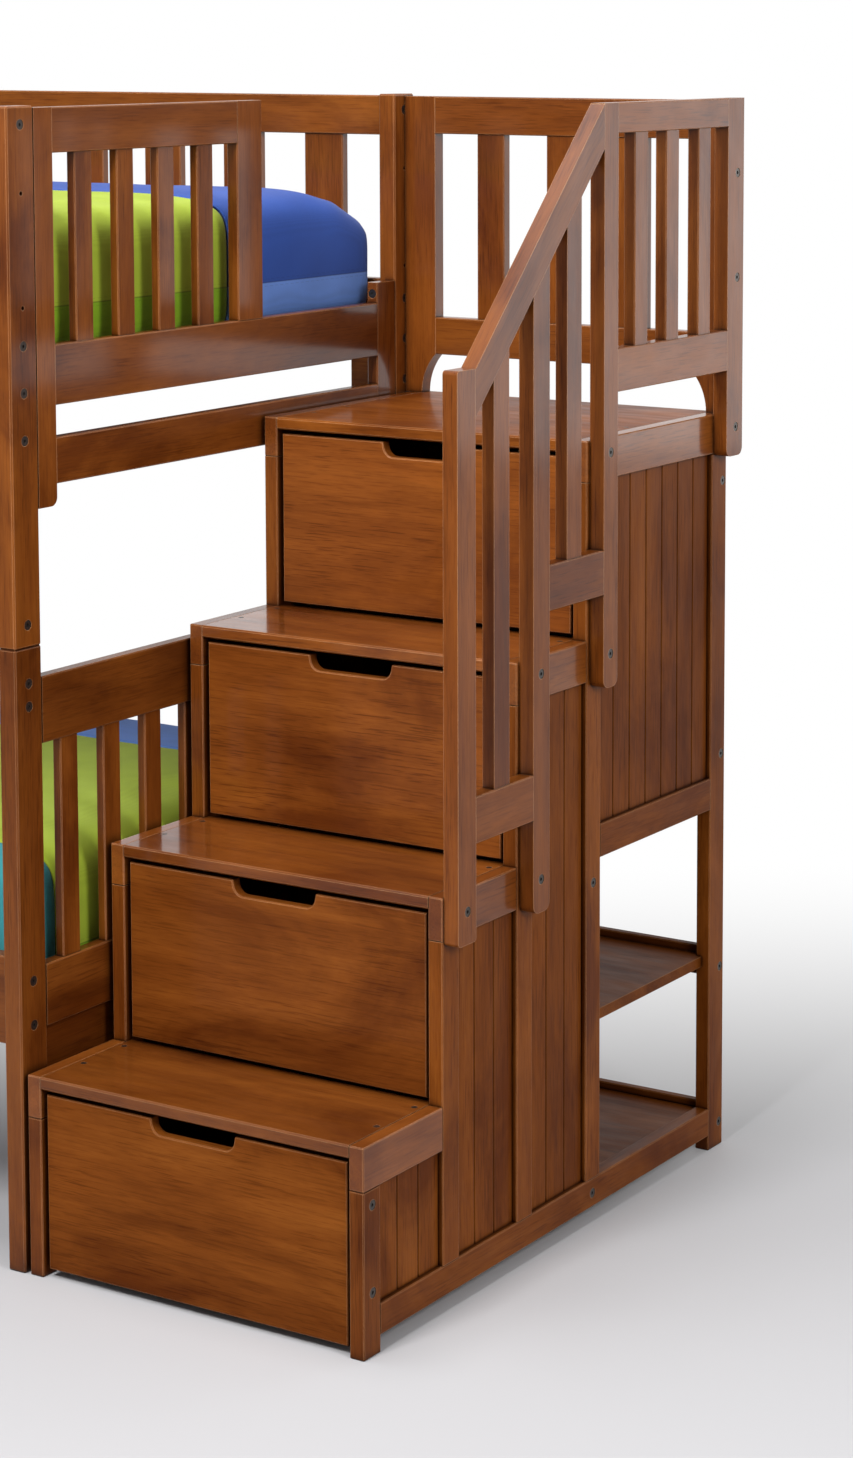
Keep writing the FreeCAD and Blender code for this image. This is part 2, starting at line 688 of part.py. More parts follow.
# ---------------------------------------------------------------------------------------
# Stairs: side frames
# ---------------------------------------------------------------------------------------
# bolts of the handrail posts, which go on into the side frame
through = "rail_thick + 20"
RAIL_BOLTS = {
    "a_low": ("unit_y + post_a_front + 26", "2 * rise - 23"), "c_low": ("unit_y + post_c_front + 23", "2 * rise - 21"),
    "c_high": ("unit_y + post_c_front + 23", "3 * rise - 18.5"), "b_low": ("unit_y + post_b_front + 22", "3 * rise - 22"),
    "b_high": ("unit_y + post_b_front + 22", "4 * rise - 19"), "d_low": ("unit_y + post_d_front + 32", "4 * rise - 22"),
    "d_middle": ("unit_y + post_d_front + 34", "landing + 231"),
    "d_high": ("unit_y + post_d_front + 34", "top_of_bed - 125")}
rail_bore = {name: bolt(f"bolt_post_{name}", "-x", ("right_edge", across, height), through)
             for name, (across, height) in RAIL_BOLTS.items()}
# bolts in the right-hand side frame itself
FRAME_BOLTS = {
    "leg_high": ("unit_y + 23", "rise - 91"), "leg_low": ("unit_y + 23", "97"), "four_high": ("stile_four + 23", "563.5"),
    "base": ("stile_four + 22", "49"), "rear_shelf": ("unit_back - 12", "318"), "rear_base": ("unit_back - 12", "42"),
    "rear_top": ("unit_back - 12", "landing - 116"), "rear_middle": ("unit_back - 12", "692")}
frame_bore = {name: bolt(f"bolt_frame_{name}", "-x", ("unit_right", across, height), "18")
              for name, (across, height) in FRAME_BOLTS.items()}

SIDE_X = {"left": "unit_x", "right": "unit_right - side_frame_thick"}
HEIGHTS = ["rise", "2 * rise", "3 * rise", "4 * rise"]
base_rail_top = "base_rail_bottom + base_rail_height"
for end in ("left", "right"):
    right = end == "right"
    stile_bores = {2: [], 3: [rail_bore["c_low"]], 4: [rail_bore["b_low"], frame_bore["four_high"]]}
    pieces = [board(f"front_leg_{end}", ("side_frame_thick", "front_leg_wide", "rise - side_board_height"),
                    (SIDE_X[end], "unit_y", "0"), [frame_bore["leg_high"], frame_bore["leg_low"]] if right else [],
                    every=True)]
    for step, start in ((2, "stile_two"), (3, "stile_three"), (4, "stile_four")):
        pieces.append(board(f"stile_{step}_{end}", ("side_frame_thick", "stile_wide",
                                                    f"{HEIGHTS[step - 1]} - side_board_height - ({base_rail_top})"),
                            (SIDE_X[end], start, base_rail_top), stile_bores[step] if right else []))
    pieces.append(board(f"rear_leg_{end}", ("side_frame_thick", "rear_stile_wide", "landing - side_board_height"),
                        (SIDE_X[end], "rear_stile", "0"),
                        [frame_bore[name] for name in ("rear_shelf", "rear_base", "rear_top", "rear_middle")] if right else [],
                        every=True))
    node(f"stair_{end}_stiles", pieces)

side_rails = []
for end in ("left", "right"):
    side_rails.append(board(f"base_rail_{end}", ("side_frame_thick", "rear_stile - unit_y - front_leg_wide", "base_rail_height"),
                            (SIDE_X[end], "unit_y + front_leg_wide", "base_rail_bottom"),
                            [frame_bore["base"]] if end == "right" else []))
    side_rails.append(board(f"upper_panel_rail_{end}", ("side_frame_thick", "rear_stile - stile_four - stile_wide",
                                                        "low_rail_height"),
                            (SIDE_X[end], "stile_four + stile_wide", "low_rail_bottom")))
node("stair_side_rails", side_rails)

# The board under each tread's end lies on the stile in front and butts the next stile.
BOARD_BORES = {2: [rail_bore["a_low"]], 3: [rail_bore["c_high"]], 4: [rail_bore["b_high"], rail_bore["d_low"]]}
side_boards = []
for end in ("left", "right"):
    for step in (1, 2, 3, 4):
        start = f"unit_y + {step - 1} * going"
        length = "going" if step < 4 else "unit_back - stile_four"
        side_boards.append(board(f"side_board_{step}_{end}", ("side_frame_thick", length, "side_board_height"),
                                 (SIDE_X[end], start, f"{step} * rise - side_board_height"),
                                 BOARD_BORES.get(step, []) if end == "right" else [], every=True))
node("tread_side_boards", side_boards)

# Tongued planks fill the side frames, set back from their outer faces.
PANELS = [("one", "unit_y + front_leg_wide", "stile_two", base_rail_top, "rise - side_board_height", 3),
          ("two", "stile_two + stile_wide", "stile_three", base_rail_top, "2 * rise - side_board_height", 3),
          ("three", "stile_three + stile_wide", "stile_four", base_rail_top, "3 * rise - side_board_height", 3),
          ("upper", "stile_four + stile_wide", "rear_stile", "low_rail_bottom + low_rail_height",
           "4 * rise - side_board_height", 7)]
planks = []
for end, plank_x in (("right", "panel_x"), ("left", "unit_x + panel_recess")):
    fields = list(PANELS)
    if end == "left":
        fields.append(("lower", "stile_four + stile_wide", "rear_stile", base_rail_top, "low_rail_bottom", 7))
    for field, start, finish, bottom, top, count in fields:
        for index in range(count):
            share = f"(({finish}) - ({start})) / {count}"
            planks.append(board(f"plank_{field}_{end}_{index + 1}", ("plank_thick", share, f"({top}) - ({bottom})"),
                                (plank_x, f"{start} + {index} * {share}", bottom), easing="plank_ease"))
node("stair_side_panels", planks)

# ---------------------------------------------------------------------------------------
# Stairs: treads, held by capped screws
# ---------------------------------------------------------------------------------------
def cap_screw(name, start):
    """A small capped screw in a tread and the hole it stands in."""
    screw = rod(name, "-z", start, "0", "cap_diameter", "tread_thick - 4")
    BOLTS.append(screw)
    return rod(name + "_hole", "-z", start, "-1", "cap_diameter + bore_clearance", "tread_thick - 3")


for step in (1, 2, 3, 4):
    holes = []
    for across, mark in (("inner_x + 12", "left"), ("inner_x + inner_width - 12", "right")):
        for back, row in (("90", "front"), ("going - 20", "back")):
            holes.append(cap_screw(f"tread_screw_{step}_{mark}_{row}",
                                   (across, f"unit_y + {step - 1} * going + {back}", f"{step} * rise")))
    depth = "going + tread_lap" if step < 4 else "unit_back - stile_four"
    node(f"tread_{step}", [board(f"tread_{step}", ("inner_width", depth, "tread_thick"),
                                 ("inner_x", f"unit_y + {step - 1} * going", f"{step} * rise - tread_thick"),
                                 holes, "post_ease")])

# ---------------------------------------------------------------------------------------
# Drawers: a front with a cut-out pull, and a box behind it that slides on wooden runners
# ---------------------------------------------------------------------------------------
def drawer_front(name, step, bottom, top):
    width = "inner_width - 2 * drawer_gap"
    height = f"({top}) - ({bottom})"
    body = plate(name, "XZ", [("0", "0"), (width, "0"), (width, height), ("0", height)], "drawer_front_thick",
                 ("inner_x + drawer_gap", f"unit_y + {step - 1} * going + drawer_recess + drawer_front_thick", bottom))
    sketch = body.newObject("Sketcher::SketchObject", name + "_pull_outline")
    sketch.AttachmentSupport = ([item for item in body.Origin.OriginFeatures if item.Role == "XZ_Plane"][0], [""])
    sketch.MapMode = "FlatFace"
    middle = f"({width}) / 2"
    trace(sketch, [(f"{middle} - pull_bottom / 2", f"{height} - pull_depth"),
                   (f"{middle} + pull_bottom / 2", f"{height} - pull_depth"),
                   (f"{middle} + pull_top / 2", height),
                   (f"{middle} + pull_top / 2", f"{height} + 5"),
                   (f"{middle} - pull_top / 2", f"{height} + 5"),
                   (f"{middle} - pull_top / 2", height)])
    pocket = body.newObject("PartDesign::Pocket", name + "_pull")
    pocket.Profile = sketch
    pocket.Reversed = True
    pocket.setExpression("Length", formula("drawer_front_thick + 1"))
    doc.recompute()
    for turn, (across, up) in enumerate(((f"{middle} - pull_bottom / 2", f"{height} - pull_depth"),
                                         (f"{middle} + pull_bottom / 2", f"{height} - pull_depth"),
                                         (f"{middle} + pull_top / 2", height), (f"{middle} - pull_top / 2", height))):
        corner = (number(across), number(up))
        names = []
        base = body.Tip
        for index, edge in enumerate(base.Shape.Edges, start=1):
            points = [vertex.Point for vertex in edge.Vertexes]
            if len(points) == 2 and all(abs(point.x - corner[0]) + abs(point.z - corner[1]) < 0.01 for point in points):
                names.append(f"Edge{index}")
        fillet = body.newObject("PartDesign::Fillet", f"{name}_pull_round_{turn}")
        fillet.Base = (base, names)
        fillet.setExpression("Radius", formula("pull_round" if turn < 2 else "pull_lip"))
        doc.recompute()
    base = body.Tip
    faces = [f"Face{index}" for index, face in enumerate(base.Shape.Faces, start=1)
             if abs(face.BoundBox.YMin + number("drawer_front_thick")) < 0.001 and face.BoundBox.YLength < 0.001]
    chamfer = body.newObject("PartDesign::Chamfer", name + "_eased")
    chamfer.Base = (base, faces)
    chamfer.setExpression("Size", formula("board_ease"))
    doc.recompute()
    return body


runners = []
for step in (1, 2, 3, 4):
    bottom = "first_drawer_bottom" if step == 1 else f"{step - 1} * rise + drawer_gap"
    top = f"{step} * rise - tread_thick - drawer_top_gap"
    behind = "stile_four + stile_wide - case_lap - plank_thick" if step < 3 else "unit_y + lip_front + lip_thick"
    node(f"drawer_{step}_front", [drawer_front(f"drawer_{step}_front", step, bottom, top)])
    box_x = "inner_x + box_side_gap"
    box_width = "inner_width - 2 * box_side_gap"
    box_y = f"unit_y + {step - 1} * going + drawer_recess + drawer_front_thick"
    depth = f"({behind} - ({box_y}) - box_{step}_back_gap)"
    box_z = f"{bottom} + box_lift"
    box_height = f"({top}) - ({bottom}) - box_lift - box_drop"
    inside = f"({box_width}) - 2 * box_wall"
    name = f"drawer_{step}"
    node(f"{name}_box",
         [board(f"{name}_side_left", ("box_wall", depth, box_height), (box_x, box_y, box_z)),
          board(f"{name}_side_right", ("box_wall", depth, box_height), (f"{box_x} + {box_width} - box_wall", box_y, box_z)),
          board(f"{name}_inner_front", (inside, "box_wall", box_height), (f"{box_x} + box_wall", box_y, box_z)),
          board(f"{name}_back", (inside, "box_wall", box_height), (f"{box_x} + box_wall", f"{box_y} + {depth} - box_wall", box_z)),
          board(f"{name}_floor", (inside, f"{depth} - 2 * box_wall", "box_floor"),
                (f"{box_x} + box_wall", f"{box_y} + box_wall", f"{box_z} + box_floor"))])
    for side, start in (("left", "inner_x"), ("right", "inner_x + inner_width - runner_wide")):
        runners.append(board(f"runner_{step}_{side}", ("runner_wide", depth, "runner_thick"),
                             (start, box_y, f"{box_z} - running_gap - runner_thick")))
node("drawer_runners", runners)

# ---------------------------------------------------------------------------------------
# Bookcase behind the three lower drawers, open to the side and to the back
# ---------------------------------------------------------------------------------------
case_front = "stile_four + stile_wide - case_lap"
shelf_back = "unit_y + lip_front"
nose = "inner_width + shelf_nose"
stile_gap = "stile_four + stile_wide"
middle_shelf = plate("shelf_middle", "XY",
                     [("0", "0"), ("inner_width", "0"), ("inner_width", f"{stile_gap} - ({case_front})"),
                      (nose, f"{stile_gap} - ({case_front})"), (nose, f"rear_stile - ({case_front})"),
                      ("inner_width", f"rear_stile - ({case_front})"), ("inner_width", f"{shelf_back} - ({case_front})"),
                      ("0", f"{shelf_back} - ({case_front})")],
                     "shelf_thick", ("inner_x", case_front, "shelf_top - shelf_thick"))
lip_back = f"{shelf_back} + lip_thick"
node("bookcase",
     [middle_shelf,
      board("shelf_middle_lip", ("inner_width", "lip_thick", "shelf_lip_height"), ("inner_x", shelf_back, "shelf_lip_bottom")),
      board("shelf_floor", ("inner_width", f"{lip_back} - ({case_front})", "shelf_thick"),
            ("inner_x", case_front, "floor_shelf_top - shelf_thick")),
      board("shelf_floor_lip", ("inner_width", "lip_thick", "floor_lip_height"), ("inner_x", shelf_back, "floor_shelf_top")),
      board("bookcase_partition", ("inner_width", "plank_thick", "low_rail_bottom - base_rail_bottom"),
            ("inner_x", f"{case_front} - plank_thick", "base_rail_bottom")),
      board("bookcase_ceiling", ("inner_width", f"{lip_back} - ({case_front}) + plank_thick", "plank_thick"),
            ("inner_x", f"{case_front} - plank_thick", "low_rail_bottom"))])
node("stair_back_panel",
     [board("stair_back_panel", ("inner_width", "plank_thick", "landing - tread_thick - low_rail_bottom"),
            ("inner_x", lip_back, "low_rail_bottom"))])

# ---------------------------------------------------------------------------------------
# Handrail on the open side of the stairs
# ---------------------------------------------------------------------------------------
slope_run = "post_b_front - post_a_front - post_a_wide"
slope_start = "post_a_front + post_a_wide"


def slope_top(across):
    """Height of the handrail's upper edge above a point that far behind the unit's front."""
    return f"handrail_start + (({across}) - ({slope_start})) * handrail_rise / ({slope_run})"


def slope_bottom(across):
    return f"{slope_top(across)} - handrail_depth"


def upright(name, front, wide, bottom, tops, rounds=()):
    """A board on edge beside the stairs, cut to the two heights given for its front and back."""
    return plate(name, "YZ", [("0", bottom), (wide, bottom), (wide, tops[1]), ("0", tops[0])], "rail_thick",
                 ("guard_x", f"unit_y + {front}", "0"), rounds)


post_a = upright("handrail_post_a", "post_a_front", "post_a_wide", "post_a_bottom", ("post_a_top", "post_a_top"),
                 [("0", "post_a_bottom", "post_top_round"), ("post_a_wide", "post_a_bottom", "post_top_round"),
                  ("0", "post_a_top", "post_top_round")])
post_c = upright("handrail_post_c", "post_c_front", "post_c_wide", "post_a_bottom",
                 (slope_bottom("post_c_front"), slope_bottom("post_c_front + post_c_wide")),
                 [("0", "post_a_bottom", "post_foot_round"), ("post_c_wide", "post_a_bottom", "post_foot_round")])
post_b = upright("handrail_post_b", "post_b_front", "post_b_wide", "post_b_bottom", ("top_of_bed", "top_of_bed"),
                 [("0", "post_b_bottom", "post_foot_round"), ("post_b_wide", "post_b_bottom", "post_foot_round")])
post_d = upright("handrail_post_d", "post_d_front", "post_d_wide", "post_d_bottom", ("top_of_bed", "top_of_bed"),
                 [("0", "post_d_bottom", "post_foot_round"), ("post_d_wide", "post_d_bottom", "post_foot_round")])
node("handrail_posts",
     [drill("handrail_post_a", post_a, [rail_bore["a_low"]]),
      drill("handrail_post_c", post_c, [rail_bore["c_low"], rail_bore["c_high"]]),
      drill("handrail_post_b", post_b, [rail_bore["b_low"], rail_bore["b_high"]]),
      drill("handrail_post_d", post_d, [rail_bore["d_low"], rail_bore["d_middle"], rail_bore["d_high"]])])

node("sloping_handrail",
     [plate("sloping_handrail", "YZ",
            [("0", "handrail_start - handrail_depth"), (slope_run, "handrail_start + handrail_rise - handrail_depth"),
             (slope_run, "handrail_start + handrail_rise - 3"), ("0", "handrail_start - 1")],
            "rail_thick", ("guard_x", f"unit_y + {slope_start}", "0"))])


def rail_slat(name, front, wide, bottom, tops):
    return plate(name, "YZ", [("0", bottom), (wide, bottom), (wide, tops[1]), ("0", tops[0])], "rail_slat_thick",
                 ("guard_x + slat_inset", f"unit_y + {front}", "0"))


landing_slat_bottom = "landing_low_bottom + landing_low_height"
rail_slats = [rail_slat("handrail_slat_one", "bay_one_slat", "bay_slat_wide", "bay_one_bottom + bay_rail_height",
                        (slope_bottom("bay_one_slat"), slope_bottom("bay_one_slat + bay_slat_wide"))),
              rail_slat("handrail_slat_two", "bay_two_slat", "bay_slat_wide", "bay_two_bottom + bay_rail_height",
                        (slope_bottom("bay_two_slat"), slope_bottom("bay_two_slat + bay_slat_wide")))]
for count in ("one", "two", "three"):
    rail_slats.append(board(f"landing_slat_{count}",
                            ("rail_slat_thick", "landing_slat_wide", f"landing_top_bottom - ({landing_slat_bottom})"),
                            ("guard_x + slat_inset", f"unit_y + post_b_front + post_b_wide + landing_slat_{count}",
                             landing_slat_bottom)))
node("handrail_slats", rail_slats)

after_a = "post_a_front + post_a_wide"
after_c = "post_c_front + post_c_wide"
after_b = "post_b_front + post_b_wide"
node("handrail_cross_rails",
     [board(f"cross_rail_{label}", ("rail_thick", f"{finish} - ({start})", height), ("guard_x", f"unit_y + {start}", bottom))
      for label, start, finish, bottom, height in (
          ("bay_one", after_a, "post_c_front", "bay_one_bottom", "bay_rail_height"),
          ("bay_two", after_c, "post_b_front", "bay_two_bottom", "bay_rail_height"),
          ("landing_low", after_b, "post_d_front", "landing_low_bottom", "landing_low_height"),
          ("landing_top", after_b, "post_d_front", "landing_top_bottom", "landing_top_height"))])

# ---------------------------------------------------------------------------------------
# Guard across the back of the landing, with an arched gap under its lower rail
# ---------------------------------------------------------------------------------------
left_inner = "back_stile_wide - bed_gap"
right_inner = "unit_width - back_right_stile_wide"
arch_left = f"{left_inner} - back_arch_wide"
arch_right = f"{right_inner} + back_arch_wide"
guard_place = ("unit_x", "unit_y + back_guard_front + back_guard_thick", "0")
left_guard_stile = plate("back_guard_left_stile", "XZ",
                         [("-bed_gap", "landing"), (arch_left, "landing"),
                          (left_inner, "back_low_bottom", f"{arch_left} + back_arch_radius", "landing",
                           "back_arch_radius", -1),
                          (left_inner, "back_guard_top"), ("-bed_gap", "back_guard_top")],
                         "back_guard_thick", guard_place)
right_guard_stile = plate("back_guard_right_stile", "XZ",
                          [(arch_right, "landing", f"{arch_right} - back_arch_radius", "landing",
                            "back_arch_radius", -1),
                           ("unit_width", "landing"), ("unit_width", "back_guard_top"),
                           (right_inner, "back_guard_top"), (right_inner, "back_low_bottom")],
                          "back_guard_thick", guard_place)
back_slats = [board(f"back_guard_slat_{index + 1}",
                    ("back_slat_wide", "back_slat_thick", "back_guard_top - 2 * back_rail_height - back_low_bottom"),
                    (f"unit_x + back_slat_first + {index} * back_slat_pitch",
                     "unit_y + back_guard_front + (back_guard_thick - back_slat_thick) / 2", "back_low_bottom + back_rail_height"))
              for index in range(3)]
node("back_guard_stiles",
     [left_guard_stile, drill("back_guard_right_stile", right_guard_stile, [rail_bore["d_middle"], rail_bore["d_high"]])]
     + back_slats)
node("back_guard_rails",
     [board(f"back_guard_rail_{label}", (f"{right_inner} - ({left_inner})", "back_guard_thick", "back_rail_height"),
            (f"unit_x + {left_inner}", "unit_y + back_guard_front", bottom))
      for label, bottom in (("low", "back_low_bottom"), ("top", "back_guard_top - back_rail_height"))])

node("bolts_and_screws", BOLTS)

# ---------------------------------------------------------------------------------------
# Check every object, then write one file per sub-part
# ---------------------------------------------------------------------------------------
doc.recompute()
for item in doc.Objects:
    if any(word in ("Invalid", "Error") for word in item.State):
        raise RuntimeError(f"{item.Label} failed: {item.State}")
labels = [part.Label for part in NODES]
if len(set(labels)) != len(labels) or len(labels) > 60:
    raise RuntimeError("sub-part names must be different, and no more than 60")
os.makedirs("parts", exist_ok=True)
for part in NODES:
    if part.Shape.isNull() or not part.Shape.isValid() or not part.Shape.Solids:
        raise RuntimeError(f"{part.Label} has no valid solid")
for part in NODES:
    part.Shape.exportStep(os.path.join("parts", part.Label + ".step"))
print(len(NODES), "sub-parts,", sum(len(part.Shape.Solids) for part in NODES), "solids")
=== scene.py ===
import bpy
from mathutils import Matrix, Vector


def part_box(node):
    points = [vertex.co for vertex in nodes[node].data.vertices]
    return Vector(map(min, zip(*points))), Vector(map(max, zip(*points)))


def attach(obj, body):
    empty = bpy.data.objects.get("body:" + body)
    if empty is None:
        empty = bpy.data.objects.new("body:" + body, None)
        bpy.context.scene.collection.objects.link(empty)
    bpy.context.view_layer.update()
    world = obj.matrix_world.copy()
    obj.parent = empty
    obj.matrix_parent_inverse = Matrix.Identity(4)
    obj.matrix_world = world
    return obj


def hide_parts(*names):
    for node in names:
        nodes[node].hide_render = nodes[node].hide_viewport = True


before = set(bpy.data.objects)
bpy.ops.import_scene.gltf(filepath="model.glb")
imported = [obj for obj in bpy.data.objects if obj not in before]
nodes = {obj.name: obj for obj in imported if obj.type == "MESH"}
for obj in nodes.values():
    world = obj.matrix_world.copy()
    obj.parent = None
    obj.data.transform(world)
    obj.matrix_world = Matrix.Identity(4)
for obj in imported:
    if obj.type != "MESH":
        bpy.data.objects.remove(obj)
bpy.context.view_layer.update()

import math

import bmesh
import bpy
import numpy as np
from mathutils import Vector, noise

scene = bpy.context.scene

# ---------------------------------------------------------------------------------------
# Camera: it stands in front of the stairs, to the right, at about the height of the guard
# rails, and looks a little downwards along the drawer fronts to the bed behind them.
# ---------------------------------------------------------------------------------------
camera_lens = bpy.data.cameras.new("camera")
camera_lens.sensor_width = 36
camera_lens.lens = 79.78049
camera_lens.shift_x = -0.06
camera_lens.shift_y = -0.25
camera_lens.clip_end = 100
camera = bpy.data.objects.new("camera", camera_lens)
camera.location = (3.886, -4.2698, 1.9306)
camera.rotation_euler = (math.pi / 2 - 0.1042, 0.0004, 0.5572)
scene.collection.objects.link(camera)
scene.camera = camera
scene.view_settings.view_transform = "Standard"

# ---------------------------------------------------------------------------------------
# Studio: a pale smooth floor that turns white far behind the bed, a white room round it, and
# four soft lamps: one high in front, one on the right, one above and a weak one behind.
# ---------------------------------------------------------------------------------------
floor_grey = (0.555, 0.552, 0.567, 1)
white = (1, 1, 1, 1)
into_the_room = (-0.529, 0.849, 0)
floor_turns_white = (-0.7, 1.7)
room_light = 0.32


def shader(owner):
    """Empties the node tree of a material or a world, and gives two short ways to fill it:
    add makes a node with its settings, and join links an output to an input."""
    owner.use_nodes = True
    tree = owner.node_tree
    tree.nodes.clear()

    def add(kind, **settings):
        made = tree.nodes.new("ShaderNode" + kind)
        for key, value in settings.items():
            setattr(made, key, value)
        return made

    def join(source, target):
        tree.links.new(source, target)

    return add, join


def seen_rays(add, join):
    """1 for the rays that see the background itself: straight, mirrored or through glass."""
    seen = add("LightPath")
    direct = add("Math", operation="MAXIMUM")
    through = add("Math", operation="MAXIMUM")
    join(seen.outputs["Is Camera Ray"], direct.inputs[0])
    join(seen.outputs["Is Glossy Ray"], direct.inputs[1])
    join(direct.outputs[0], through.inputs[0])
    join(seen.outputs["Is Transmission Ray"], through.inputs[1])
    return through.outputs[0]


floor_shape = bmesh.new()
bmesh.ops.create_circle(floor_shape, cap_ends=True, segments=96, radius=30)
floor_mesh = bpy.data.meshes.new("studio_floor")
floor_shape.to_mesh(floor_mesh)
floor_shape.free()
floor = bpy.data.objects.new("studio_floor", floor_mesh)
scene.collection.objects.link(floor)

floor_paint = bpy.data.materials.new("floor_paint")
add, join = shader(floor_paint)
painted = add("BsdfPrincipled")
painted.inputs["Base Color"].default_value = floor_grey
painted.inputs["Roughness"].default_value = 0.6
painted.inputs["Specular IOR Level"].default_value = 0.2
glow = add("Emission")
glow.inputs["Color"].default_value = white
glow.inputs["Strength"].default_value = 1
away = add("VectorMath", operation="DOT_PRODUCT")
away.inputs[1].default_value = into_the_room
join(add("TexCoord").outputs["Object"], away.inputs[0])
fade = add("MapRange", interpolation_type="SMOOTHSTEP")
fade.inputs["From Min"].default_value, fade.inputs["From Max"].default_value = floor_turns_white
join(away.outputs["Value"], fade.inputs["Value"])
share = add("Math", operation="MULTIPLY")
join(fade.outputs["Result"], share.inputs[0])
join(seen_rays(add, join), share.inputs[1])
both = add("MixShader")
join(share.outputs[0], both.inputs["Fac"])
join(painted.outputs[0], both.inputs[1])
join(glow.outputs[0], both.inputs[2])
join(both.outputs[0], add("OutputMaterial").inputs["Surface"])
floor_mesh.materials.append(floor_paint)

room = bpy.data.worlds.new("white_room")
scene.world = room
add, join = shader(room)
both = add("MixShader")
join(seen_rays(add, join), both.inputs["Fac"])
for socket, strength in ((both.inputs[1], room_light), (both.inputs[2], 1)):
    wall = add("Background")
    wall.inputs["Color"].default_value = white
    wall.inputs["Strength"].default_value = strength
    join(wall.outputs[0], socket)
join(both.outputs[0], add("OutputWorld").inputs["Surface"])

for name, place, aim, size, power in (
        ("lamp_front", (1.15, -3.3, 3.9), (0.6, 0.0, 1.2), 1.2, 175),
        ("lamp_right", (5.0, -1.5, 2.9), (0.9, 0.0, 1.2), 1.4, 95),
        ("lamp_above", (0.3, -0.6, 4.8), (0.3, 0.1, 1.0), 2.0, 70),
        ("lamp_behind", (3.5, 3.8, 1.4), (1.0, 0.2, 1.4), 1.4, 16)):
    light = bpy.data.lights.new(name, "AREA")
    light.shape = "SQUARE"
    light.size = size
    light.energy = power
    lamp = bpy.data.objects.new(name, light)
    lamp.location = place
    lamp.rotation_euler = (Vector(aim) - Vector(place)).to_track_quat("-Z", "Y").to_euler()
    scene.collection.objects.link(lamp)

# ---------------------------------------------------------------------------------------
# Corner posts of both beds: planed hardwood, two-piece stacked posts on steel pins, sanded
# round at the corners, stained brown and sprayed with a satin lacquer.
# ---------------------------------------------------------------------------------------
most_gaps = 30
end_margin = 0.001
no_change = (1.0, 1.0, 1.0)
stain_dark = (0.128, 0.0315, 0.0038, 1)
stain_middle = (0.180, 0.0480, 0.0060, 1)
stain_light = (0.236, 0.0690, 0.0095, 1)


def board_gaps(node, axis):
    """Where a node's boards end along an axis: its low and high end, and the middle of each gap."""
    mesh = nodes[node].data
    points = np.zeros(len(mesh.vertices) * 3, np.float32)
    mesh.vertices.foreach_get("co", points)
    points = points.reshape(-1, 3)[:, axis]
    corners = np.zeros(len(mesh.loops), np.int32)
    mesh.loops.foreach_get("vertex_index", corners)
    ends = points[corners].reshape(-1, 3)
    spans = sorted(zip(ends.min(1), ends.max(1)))
    middles, reach = [], spans[0][1]
    for start, end in spans:
        if start > reach + 0.0015:
            middles.append((start + reach) / 2)
        reach = max(reach, end)
    return float(spans[0][0]), float(reach), [float(m) for m in middles]


def scattered(index, seed):
    """A number from 0 to 1 that jumps about with index and seed, and is the same every run."""
    return (math.sin(index * 12.9898 + seed * 78.233) * 43758.5453) % 1


